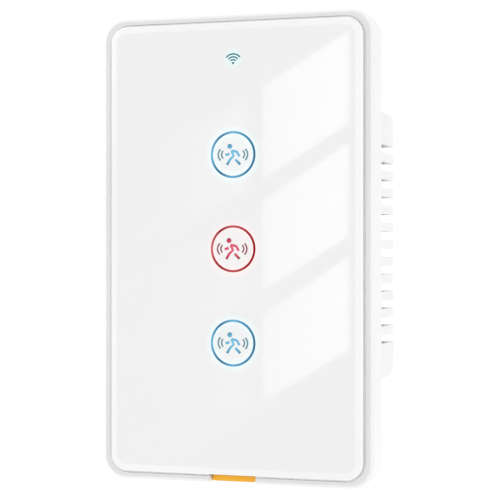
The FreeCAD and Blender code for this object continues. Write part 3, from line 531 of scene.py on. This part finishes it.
# Lit marks, which show as printed behind the glass: no gloss of their own, colours drifting round or across
def markInk(name, stops, isRing):
    values = {"Roughness": 0.8, "Specular IOR Level": 0.0}
    material, tree, shader, place = startMaterial(name, stops[0][1], values)
    split, height, radius = keyPlace(tree, place)
    if isRing:
        turn = addNode(tree, "Math", {"operation": "ARCTAN2"}, links={0: height, 1: split.outputs["X"]})
        share = addNode(tree, "MapRange", values={"From Min": -math.pi, "From Max": math.pi},
                        links={"Value": turn.outputs["Value"]}).outputs["Result"]
    else:
        share = shareOf(tree, radius, markSettings["figureReach"])
    tree.links.new(colourRamp(tree, share, stops), shader.inputs["Base Color"])
    return material


# Screen ink lit from behind, blue: deep at the right and on two shoulders, pale between
ringShares = (0.0, 0.09, 0.15, 0.25, 0.36, 0.5, 0.62, 0.75, 0.85, 1.0)
blueShades = ("#72b6d8", "#4489ae", "#336f92", "#66abcf", "#3f7fa3", "#34708f", "#4184a8", "#6fb2d3",
              "#37759a", "#72b6d8")
blueRing = markInk("backlitBlueInk", list(zip(ringShares, blueShades)), True)
# The same ink, red
redShades = ("#cc6a6d", "#a92f33", "#94161b", "#bf5155", "#a32126", "#93090f", "#a12429", "#c25a5d",
             "#961a1f", "#cc6a6d")
redRing = markInk("backlitRedInk", list(zip(ringShares, redShades)), True)
# Paler inks of the figures, greyer towards hands and feet, and of the waves
figureShares = (0.0, 0.55, 0.8, 1.0)
paleBlueShades = ("#7cbfe0", "#6fb2d3", "#5f9cba", "#4f8399")
roseShades = ("#e2617a", "#d4526a", "#b8415a", "#96304a")
blueFigure = markInk("backlitPaleBlueInk", list(zip(figureShares, paleBlueShades)), False)
redFigure = markInk("backlitRoseInk", list(zip(figureShares, roseShades)), False)
noGloss = {"Specular IOR Level": 0.0}
blueWave = finish("backlitSlateInk", ["#5f8792", "#6c949f"], noGloss, 0.4, 0.001, 0.75, 0.85, 1.6)
redWave = finish("backlitPlumInk", ["#8f5061", "#9d5d6e"], noGloss, 0.4, 0.001, 0.75, 0.85, 1.6)
tealSign = finish("backlitTealInk", ["#477c84", "#558a92"], noGloss, 0.4, 0.001, 0.75, 0.85, 1.6)

# Strokes of the walking figure, as (x, z) from the key's middle: trunk with one leg, two arms, the other leg
figureLines = [
    [(-0.36, 0.96), (-0.02, 0.32), (0.25, -0.35), (-0.75, -1.30), (-1.51, -2.62)],
    [(-0.36, 0.96), (0.50, 0.86), (1.17, 0.64), (1.79, -0.50)],
    [(-1.92, -0.1), (-0.85, 0.2)],
    [(0.71, -1.23), (2.02, -2.54)],
]
# Waves beside it: centre (x, z), radius, middle angle and half span in degrees
waveArcs = [(-1.64, 0.0, 1.33, 180, 46), (-2.02, -0.04, 1.87, 180, 49),
            (1.94, 0.0, 1.23, 0, 51), (2.06, -0.04, 1.93, 0, 47)]
signArcs = [(0.0, 0.0, radius, 90, 52) for radius in (0.86, 1.58, 2.33)]


def addStroke(shape, points, width, centreZ, index, closed=False):
    # a drawn line, pressed almost flat and laid on the glass
    before = len(shape.verts)
    addCurve(shape, [(x, 0, z) for x, z in points], width / 2, markSettings["roundSteps"], closed)
    shape.verts.ensure_lookup_table()
    laid = shape.verts[before:]
    paintFaces(laid, index)
    press = markSettings["press"]
    bmesh.ops.scale(shape, verts=laid, vec=(1, press, 1))
    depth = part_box("glass_panel")[0].y + width / 2 * press * mm
    bmesh.ops.translate(shape, verts=laid, vec=(0, depth, centreZ * mm))


def addDisc(shape, x, z, radius, index, segments):
    frontY = glassLow.y + markSettings["discDrop"]
    addRound(shape, (x, frontY, z), radius, markSettings["discThick"], index=index, segments=segments)


# For each key its place in pitches, its inks, and how far its figure sits beside the middle
blueInks, redInks = [blueRing, blueFigure, blueWave], [redRing, redFigure, redWave]
for key, inks, slip in [(1, blueInks, -0.1), (0, redInks, -0.3), (-1, blueInks, -0.1)]:
    centreZ = key * markSettings["pitch"]
    shape = bmesh.new()
    ring = arcPoints(0, 0, markSettings["ringRadius"], 180, 180, markSettings["ringSteps"] + 1)[:-1]
    addStroke(shape, ring, markSettings["ringWidth"], centreZ, 0, True)
    for line in figureLines:
        addStroke(shape, [(x + slip, z) for x, z in line], markSettings["figureWidth"], centreZ, 1)
    for x, *arc in waveArcs:
        addStroke(shape, arcPoints(x + slip, *arc), markSettings["waveWidth"], centreZ, 2)
    headX, headZ = markSettings["headPlace"]
    addDisc(shape, slip + headX, centreZ + headZ, markSettings["headRadius"], index=1, segments=40)
    finishPiece(shape, f"keyMark{2 - key}", inks, "panel")

shape = bmesh.new()
for arc in signArcs:
    addStroke(shape, arcPoints(*arc), markSettings["signWidth"], markSettings["signHeight"], 0)
addDisc(shape, 0, markSettings["signHeight"], markSettings["dotRadius"], index=0, segments=24)
finishPiece(shape, "wirelessMark", [tealSign], "panel")
print("marks ready")

# Moulded, pressed and bought-in pieces: the CAD solid with its edges eased, in millimetres
easings = {
    "front_frame": 0.25, "snap_hooks": 0.12, "release_hooks": 0.12, "release_tab": 0.2, "tab_spring": 0.04,
    "touch_board": 0.05, "header_strip": 0.12, "header_pins": 0.06, "key_leds": 0.1, "status_led": 0.1,
    "touch_chips": 0.12, "mounting_plate": 0.15, "base_cover": 0.15, "rear_housing": 0.25,
    "power_board": 0.05, "relays": 0.3, "transformer_core": 0.12, "transformer_bobbin": 0.15,
    "film_capacitor": 0.25, "fuse": 0.25, "varistor": 0.5, "power_chips": 0.15, "header_socket": 0.12,
    "radio_board": 0.04, "radio_shield": 0.2, "terminal_block": 0.15, "terminal_tangs": 0.06,
}
panelNodes = {"front_frame", "snap_hooks", "release_hooks", "tab_spring", "touch_board", "header_strip",
              "header_pins", "key_leds", "status_led", "touch_chips"}
cageEasing, screwEasing = 0.1, 0.12
lipDepth = 0.8  # how far back from its front the frame's faces take the painted shade of the lip and chamfer

# Points from the panel to the tab, for the leaf spring from its top down and the lower hooks over their
# roots; pieces given them are baked in place and ride on no body
rootLength = 1.4
springLow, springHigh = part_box("tab_spring")
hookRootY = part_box("release_hooks")[0].y
bends = {"tab_spring": ((0, 0, springHigh.z), (0, 0, springLow.z)),
         "release_hooks": ((0, hookRootY, 0), (0, hookRootY + rootLength * mm, 0))}


def slideSide(shape, x, move):
    # one side of the notch for the tab, slid along the lower wall in millimetres
    side = [vert for vert in shape.verts
            if abs(vert.co.x / mm - x) < near and vert.co.z / mm < tabSettings["notchTop"]]
    bmesh.ops.translate(shape, verts=side, vec=(move * mm, 0, 0))


for name, easing in easings.items():
    body = "tab" if name == "release_tab" else "panel" if name in panelNodes else "base"
    shape = mergedCopy(name)
    if name == "front_frame":
        # front faces near the front: flat ones take the lip's painted shade, sloping ones the chamfer's
        # lighter painted shade
        for face in shape.faces:
            if face.normal.y < -0.5 and face.calc_center_median().y < (frameFrontY + lipDepth) * mm:
                face.material_index = 1 if face.normal.y < -0.99 else 2
        for x, drawnX in zip(tabSettings["notch"], tabSettings["drawn"]):
            slideSide(shape, x, drawnX - x)
    if name == "release_tab":
        foot = [vert for vert in shape.verts if vert.co.z < tabSettings["footTop"] * mm]
        bmesh.ops.translate(shape, verts=foot, vec=(tabSettings["shift"] * mm, 0, 0))
    easeEdges(shape, easing)
    finishPiece(shape, name + "Eased", [nodeMaterials[name], lipPaintedShadeAbs, chamferPaintedShadeAbs], body, [name],
                bend=bends.get(name))
for pole in poles:
    name = f"terminal_cage_{pole}"
    shape = easeEdges(mergedCopy(name), cageEasing)
    finishPiece(shape, f"cageEased{pole}", [zincSteel], f"cage_{pole}", [name])
print("eased pieces ready,", len(easings))

# Terminal screws: slotted heads as in the CAD, shanks cut down to the root of a rolled thread
threadSettings = {"crest": 1.72, "root": 1.42, "pitch": 0.6, "stepsPerTurn": 18, "headRoom": 2.4,
                  "ridge": (0.05, 0.3, 0.55)}
for pole in poles:
    name = f"terminal_screw_{pole}"
    low, high = boxMm(name)
    axis = Vector(((low.x + high.x) / 2, 0, (low.z + high.z) / 2))
    shape = mergedCopy(name)
    for vert in shape.verts:
        spoke = Vector((vert.co.x / mm - axis.x, 0, vert.co.z / mm - axis.z))
        if abs(spoke.length - threadSettings["crest"]) < near:
            vert.co -= spoke * (1 - threadSettings["root"] / spoke.length) * mm
    easeEdges(shape, screwEasing)
    pitch, stepsPerTurn = threadSettings["pitch"], threadSettings["stepsPerTurn"]
    turns = int((high.y - threadSettings["headRoom"] - low.y) / pitch) - 1
    reaches = (threadSettings["root"], threadSettings["crest"], threadSettings["root"])
    points = [shape.verts.new(((axis.x + reach) * mm, (low.y + height) * mm, axis.z * mm))
              for reach, height in zip(reaches, threadSettings["ridge"])]
    edges = [shape.edges.new(points[0:2]), shape.edges.new(points[1:3])]
    climb = (0, pitch * mm / stepsPerTurn, 0)
    bmesh.ops.spin(shape, geom=points + edges, cent=(axis.x * mm, 0, axis.z * mm), axis=(0, 1, 0),
                   angle=2 * math.pi * turns, steps=stepsPerTurn * turns, dvec=climb)
    finishPiece(shape, f"screwThreaded{pole}", [screwSteel], f"screw_{pole}", [name])
print("terminal screws ready")


# Four screws hold the steel plate, the lid and the housing together. In shares of the head: the driver cross,
# the flat top and its shoulder, and how far up the shank goes.
plateScrewSettings = {
    "headRadius": 2.4, "headHeight": 1.35, "shank": 1.05, "length": 9.0, "arm": 0.62, "half": 0.15,
    "depth": 0.7, "taper": 0.62, "cuts": 2, "top": 0.86, "flare": 0.14, "shoulder": 0.25, "overlap": 0.2,
    "rimSteps": 36, "shankSteps": 24,
    "places": [(-27.45, 32.5), (27.45, 32.5), (-27.45, -30.5), (27.45, -30.5)]}


def addCrossScrew(shape, x, z, seatY):
    # pan head towards the room with a driver cross sunk in it, and its shank
    cross = plateScrewSettings
    headRadius, headHeight = cross["headRadius"], cross["headHeight"]
    topY = seatY - headHeight
    arm, half = cross["arm"] * headRadius, cross["half"] * headRadius
    corners = [(arm, -half), (arm, half), (half, half), (half, arm), (-half, arm), (-half, half),
               (-arm, half), (-arm, -half), (-half, -half), (-half, -arm), (half, -arm), (half, -half)]
    points = [shape.verts.new(((x + a) * mm, topY * mm, (z + b) * mm)) for a, b in corners]
    outline = [shape.edges.new(pair) for pair in zip(points, points[1:] + points[:1])]
    cut = bmesh.ops.subdivide_edges(shape, edges=outline, cuts=cross["cuts"])
    cutEdges = onlyKind(cut["geom_inner"] + cut["geom_split"], bmesh.types.BMEdge)
    outline = list(set(cutEdges + [edge for edge in outline if edge.is_valid]))
    place = Matrix.Translation((x * mm, topY * mm, z * mm)) @ intoWall
    rim = bmesh.ops.create_circle(shape, cap_ends=False, segments=cross["rimSteps"],
                                  radius=headRadius * cross["top"] * mm, matrix=place)
    rimEdges = list({edge for vert in rim["verts"] for edge in vert.link_edges})
    bmesh.ops.bridge_loops(shape, edges=outline + rimEdges)
    flared = 1 + cross["flare"] / cross["top"]
    for loop, steps in [(outline, [(cross["depth"], cross["taper"])]),
                        (rimEdges, [(cross["shoulder"], flared), (1 - cross["shoulder"], 1)])]:
        for sink, factor in steps:
            grown = bmesh.ops.extrude_edge_only(shape, edges=loop)
            verts = onlyKind(grown["geom"], bmesh.types.BMVert)
            loop = [edge for edge in onlyKind(grown["geom"], bmesh.types.BMEdge)
                    if edge.verts[0] in verts and edge.verts[1] in verts]
            bmesh.ops.translate(shape, verts=verts, vec=(0, sink * headHeight * mm, 0))
            bmesh.ops.scale(shape, verts=verts, vec=(factor, 1, factor),
                            space=Matrix.Translation((-x * mm, 0, -z * mm)))
        bmesh.ops.contextual_create(shape, geom=loop)
    addRound(shape, (x, seatY - cross["overlap"] * headHeight, z), cross["shank"], cross["length"],
             segments=cross["shankSteps"])


plateFrontY = boxMm("mounting_plate")[0].y
shape = bmesh.new()
for x, z in plateScrewSettings["places"]:
    addCrossScrew(shape, x, z, plateFrontY)
bmesh.ops.recalc_face_normals(shape, faces=shape.faces)
finishPiece(shape, "plateScrews", [screwSteel], "base")
print("plate screws ready")

# Boards: leads of the chips and small parts
smallParts = {"length": 1.6, "width": 0.8, "height": 0.5, "end": 0.3, "inset": 0.02, "lower": 0.03,
              "bodyEasing": 0.05, "endEasing": 0.08}
leadSettings = {"pitch": 0.8, "width": 0.32, "thick": 0.14, "reach": 0.85, "foot": 0.45, "height": 0.45,
                "cornerRoom": 0.8, "root": 0.1, "squareWithin": 0.1}


def addLeads(shape, low, high, seatY, index):
    # gull-wing leads on both long sides of a chip, on all four of a square one
    lead = leadSettings
    middle, half = (low + high) / 2, (high - low) / 2
    isSquare = abs(half.x - half.z) < lead["squareWithin"]
    sides = [(0, 2), (2, 0)] if isSquare else [(0, 2)] if half.x > half.z else [(2, 0)]
    for along, across in sides:
        count = int((2 * half[along] - lead["cornerRoom"]) / lead["pitch"])
        edge = half[across]
        knee = edge + lead["reach"] - lead["foot"]
        bars = [(edge - lead["root"], knee, lead["height"] - lead["thick"], lead["height"]),
                (knee - lead["thick"], knee, 0.0, lead["height"]),
                (knee, edge + lead["reach"], 0.0, lead["thick"])]
        for turn in (-1, 1):
            for number in range(count):
                run = middle[along] + (number - (count - 1) / 2) * lead["pitch"]
                for inner, outer, foot, top in bars:
                    corners = [[0, 0, 0], [0, 0, 0]]
                    for corner, shift, reach, depth in zip(corners, (-1, 1), (inner, outer), (foot, top)):
                        corner[along] = run + shift * lead["width"] / 2
                        corner[across] = middle[across] + turn * reach
                        corner[1] = seatY + depth
                    addBlock(shape, *[[pick(a, b) for a, b in zip(*corners)] for pick in (min, max)], index)


def addSmallPart(shape, x, z, seatY, upright, bodyIndex):
    # chip resistor or capacitor, its tinned ends a little fuller than its body
    part = smallParts
    end, inset, topY = part["end"], part["inset"], seatY + part["height"]
    a, b = (part["width"], part["length"]) if upright else (part["length"], part["width"])
    addBlock(shape, (x - a / 2 + inset, seatY, z - b / 2 + inset),
             (x + a / 2 - inset, topY - part["lower"], z + b / 2 - inset), bodyIndex, part["bodyEasing"])
    for turn in (-1, 1):
        if upright:
            edge = z + turn * (b / 2 - end / 2)
            low, high = (x - a / 2, seatY, edge - end / 2), (x + a / 2, topY, edge + end / 2)
        else:
            edge = x + turn * (a / 2 - end / 2)
            low, high = (edge - end / 2, seatY, z - b / 2), (edge + end / 2, topY, z + b / 2)
        addBlock(shape, low, high, 2, part["endEasing"])


# Touch board: places (x, z) of what it carries, sizes of its test pads and of the solder cones of the plug
touchSettings = {
    "parts": [(-6.0, 30.0), (-3.2, 30.0), (6.0, 30.0), (9.0, 30.0), (-9.0, 6.0), (-9.0, 3.4), (-9.0, 0.8),
              (6.5, 3.0), (6.5, 0.4), (6.5, -2.2), (-6.0, -28.0), (-3.0, -28.0), (3.0, -28.0),
              (20.0, -20.0), (20.0, -22.6), (20.0, -25.2), (-20.0, 24.0), (-20.0, 26.6)],
    "uprightParts": [(12.0, -30.0), (15.0, -30.0), (18.0, -30.0)],
    "padColumns": (-12.0, 12.0), "padRows": (40.0, 36.0, -36.0, -40.0), "padRadius": 0.9, "padThick": 0.03,
    "pins": 6, "pinPitch": 2.54, "firstPin": (-6.35, -12.0), "coneTip": 0.35, "coneFoot": 0.8,
    "coneHeight": 0.35}
boardLow, boardHigh = boxMm("touch_board")
shape = bmesh.new()
for count, (x, z) in enumerate(touchSettings["parts"]):  # resistors and capacitors in turn
    addSmallPart(shape, x, z, boardHigh.y, False, count % 2)
for x, z in touchSettings["uprightParts"]:
    addSmallPart(shape, x, z, boardHigh.y, True, 0)
for x in touchSettings["padColumns"]:
    for z in touchSettings["padRows"]:
        addRound(shape, (x, boardHigh.y, z), touchSettings["padRadius"], touchSettings["padThick"], index=2,
                 segments=24)
pinX, pinZ = touchSettings["firstPin"]
coneHeight = touchSettings["coneHeight"]
for pin in range(touchSettings["pins"]):
    addRound(shape, (pinX + touchSettings["pinPitch"] * pin, boardLow.y - coneHeight, pinZ),
             touchSettings["coneTip"], coneHeight, endRadius=touchSettings["coneFoot"], index=2, segments=16)
for low, high in solidBoxes("touch_chips"):
    addLeads(shape, low, high, boardHigh.y, 2)
finishPiece(shape, "touchBoardParts", [tanCeramic, blackResin, solder], "panel")
print("touch board ready")

shape = bmesh.new()
for low, high in solidBoxes("power_chips"):
    addLeads(shape, low, high, low.y, 0)
finishPiece(shape, "powerChipLeads", [solder], "base")

# Storage capacitors: shrunk sleeve rolled over round a bare end with a scored cross, on a rubber seal
canSettings = {
    "radius": 4.0, "sleeveStart": 0.3, "sleeveRoll": 0.45, "topInset": 0.75, "topDrop": 0.12, "topThick": 0.1,
    "scoreInset": 1.2, "scoreHalf": 0.09, "scoreDepth": 0.03, "sealInset": 0.3, "sealThick": 0.4, "steps": 48}
low, high = boxMm("storage_capacitors")
z = (low.z + high.z) / 2
radius, sleeveY = canSettings["radius"], low.y + canSettings["sleeveStart"]
long, short = radius - canSettings["scoreInset"], canSettings["scoreHalf"]
shape = bmesh.new()
for x in (low.x + radius, high.x - radius):
    addRound(shape, (x, sleeveY, z), radius, high.y - sleeveY, segments=canSettings["steps"],
             easing=canSettings["sleeveRoll"])
    addRound(shape, (x, high.y - canSettings["topDrop"], z), radius - canSettings["topInset"],
             canSettings["topThick"], index=1, segments=canSettings["steps"])
    for a, b in ((long, short), (short, long)):
        addBlock(shape, (x - a, high.y - canSettings["scoreDepth"], z - b), (x + a, high.y, z + b), 2)
    addRound(shape, (x, low.y, z), radius - canSettings["sealInset"], canSettings["sealThick"], index=2,
             segments=canSettings["steps"])
finishPiece(shape, "capacitorCans", [darkSleeve, drawnAluminium, blackResin], "base", ["storage_capacitors"])

# Choke: ferrite drum with one layer of enamelled wire
chokeSettings = {"flange": 1.3, "easing": 0.2, "coreInset": 1.0, "wire": 0.55, "wireInset": 0.8,
                 "woundInset": 1.2, "steps": 40, "wireSteps": 8, "turnSteps": 36}
low, high = boxMm("choke")
centreX, centreZ, radius = (low.x + high.x) / 2, (low.z + high.z) / 2, (high.x - low.x) / 2
shape = bmesh.new()
flange, steps = chokeSettings["flange"], chokeSettings["steps"]
innerStart, innerEnd = low.y + flange, high.y - flange
for start in (low.y, innerEnd):
    addRound(shape, (centreX, start, centreZ), radius, flange, segments=steps, easing=chokeSettings["easing"])
addRound(shape, (centreX, innerStart, centreZ), radius - chokeSettings["coreInset"], innerEnd - innerStart,
         segments=steps)
wireX = centreX + radius - chokeSettings["wireInset"]
turnCount = int((innerEnd - innerStart) / chokeSettings["wire"])
for turn in range(turnCount):
    height = innerStart + (turn + 0.5) * (innerEnd - innerStart) / turnCount
    place = Matrix.Translation((wireX * mm, height * mm, centreZ * mm))
    loop = bmesh.ops.create_circle(shape, cap_ends=False, segments=chokeSettings["wireSteps"],
                                   radius=chokeSettings["wire"] / 2 * mm, matrix=place)
    edges = list({edge for vert in loop["verts"] for edge in vert.link_edges})
    bmesh.ops.spin(shape, geom=loop["verts"] + edges, cent=(centreX * mm, 0, centreZ * mm), axis=(0, 1, 0),
                   angle=2 * math.pi, steps=chokeSettings["turnSteps"], use_merge=True)
for face in shape.faces:  # all that lies between the flanges, outside the core, is wire
    middle = face.calc_center_median() / mm
    reach = math.hypot(middle.x - centreX, middle.z - centreZ)
    if innerStart < middle.y < innerEnd and reach > radius - chokeSettings["woundInset"]:
        face.material_index = 1
bmesh.ops.recalc_face_normals(shape, faces=shape.faces)
finishPiece(shape, "chokeWound", [ferriteCore, copperWire], "base", ["choke"])
print("inner parts ready")

# Pale floor well below, soft studio dome, two columns of three window panes in front, and the camera
stageSettings = {"floorZ": -0.36, "floorSize": 3.0, "front": 1.02, "side": 0.12, "back": -0.15,
                 "backdrop": 1.06, "paneDistance": 0.75, "paneGlow": 3.5, "paneEdge": 6.5}
world = bpy.data.worlds.new("softStudio")
tree = emptyTree(world)
direction = addNode(tree, "TexCoord").outputs["Generated"]
split = addNode(tree, "SeparateXYZ", links={"Vector": direction})
side = addNode(tree, "Math", {"operation": "ABSOLUTE"}, links={0: split.outputs["X"]})
flank = addNode(tree, "Math", {"operation": "MULTIPLY_ADD"},
                {1: stageSettings["side"], 2: stageSettings["front"]}, {0: side.outputs["Value"]})
behind = addNode(tree, "Math", {"operation": "MAXIMUM"}, {1: 0.0}, {0: split.outputs["Y"]})
dome = addNode(tree, "Math", {"operation": "MULTIPLY_ADD"}, {1: stageSettings["back"]},
               {0: behind.outputs["Value"], 2: flank.outputs["Value"]})
seen = addNode(tree, "LightPath").outputs["Is Camera Ray"]  # the camera sees a plain white backdrop
level = addNode(tree, "MapRange", values={"To Max": stageSettings["backdrop"]},
                links={"Value": seen, "To Min": dome.outputs["Value"]})
background = addNode(tree, "Background", values={"Color": (1, 1, 1, 1)},
                     links={"Strength": level.outputs["Result"]})
addNode(tree, "OutputWorld", links={"Surface": background.outputs["Background"]})
scene.world = world

# Painted board floor: pale and matt
paleFloor = startMaterial("paintedPaleFloor", "#f6f6f6", {
    "Roughness": 0.9, "Emission Color": (1, 1, 1, 1), "Emission Strength": 0.08})[0]
shape = bmesh.new()
bmesh.ops.create_grid(shape, x_segments=1, y_segments=1, size=stageSettings["floorSize"])
bmesh.ops.translate(shape, verts=shape.verts, vec=(0, 0, stageSettings["floorZ"]))
finishPiece(shape, "floor", [paleFloor], None)

# Lit window pane: brightest inside, fading out over its border
paneGlow = bpy.data.materials.new("softWindowPane")
tree = emptyTree(paneGlow)
glow = addNode(tree, "Attribute", {"attribute_name": "glow"}).outputs["Fac"]
clear = addNode(tree, "BsdfTransparent")
light = addNode(tree, "Emission", values={"Strength": stageSettings["paneGlow"]})
mix = addNode(tree, "MixShader", links={0: glow, 1: clear.outputs["BSDF"], 2: light.outputs["Emission"]})
addNode(tree, "OutputMaterial", links={"Surface": mix.outputs["Shader"]})

cameraSettings = {"place": (0.1259, -0.3881, -0.0003), "turn": 17.84, "lens": 112.42, "sensor": 36}
# Each pane where it shows on the glass, in millimetres: x and glow at its left and at its right side, then
# the heights of its upper left, lower left, upper right and lower right corner
panes = [
    ((7.9, 0.70), (30.3, 1.08), (41.0, 17.7, 54.2, 31.2)),
    ((7.9, 0.66), (30.3, 1.05), (12.2, -10.6, 26.4, 3.1)),
    ((7.9, 0.58), (30.3, 1.0), (-16.9, -38.7, -1.9, -25.1)),
    ((-19.4, 0.05), (3.9, 0.34), (26.1, 2.3, 38.3, 15.5)),
    ((-19.4, 0.03), (3.9, 0.20), (-4.1, -27.4, 7.4, -12.9)),
    ((-19.4, 0.03), (3.9, 0.18), (-33.8, -57.0, -20.5, -43.4)),
]
reach, (eyeX, eyeY, eyeZ) = stageSettings["paneDistance"], cameraSettings["place"]
stretch = reach / (glassFrontY - eyeY)
for number, ((leftX, leftGlow), (rightX, rightGlow), heights) in enumerate(panes):
    leftTop, leftFoot, rightTop, rightFoot = heights
    shape = bmesh.new()
    layer = shape.verts.layers.float.new("glow")
    corners = []
    for x, z in [(leftX, leftFoot), (rightX, rightFoot), (rightX, rightTop), (leftX, leftTop)]:
        x, z = x * mm, z * mm
        place = (x + (x - eyeX) * stretch, glassFrontY - reach, z + (z - eyeZ) * stretch)
        corners.append(shape.verts.new(place))
    bmesh.ops.inset_region(shape, faces=[shape.faces.new(corners)], thickness=stageSettings["paneEdge"] * mm,
                           use_even_offset=True, use_boundary=True)
    left, right = corners[0].co.x, corners[1].co.x
    for vert in shape.verts:
        share = (vert.co.x - left) / (right - left)
        vert[layer] = 0.0 if vert.is_boundary else leftGlow + share * (rightGlow - leftGlow)
    pane = finishPiece(shape, f"windowPane{number + 1}", [paneGlow], None)
    pane.visible_camera = False

camera = bpy.data.objects.new("camera", bpy.data.cameras.new("camera"))
camera.data.lens = cameraSettings["lens"]
camera.data.sensor_width = cameraSettings["sensor"]
camera.location = cameraSettings["place"]
camera.rotation_euler = (math.radians(90), 0, math.radians(cameraSettings["turn"]))
scene.collection.objects.link(camera)
bpy.context.scene.camera = camera
scene.view_settings.view_transform = "Standard"

print("scene ready")
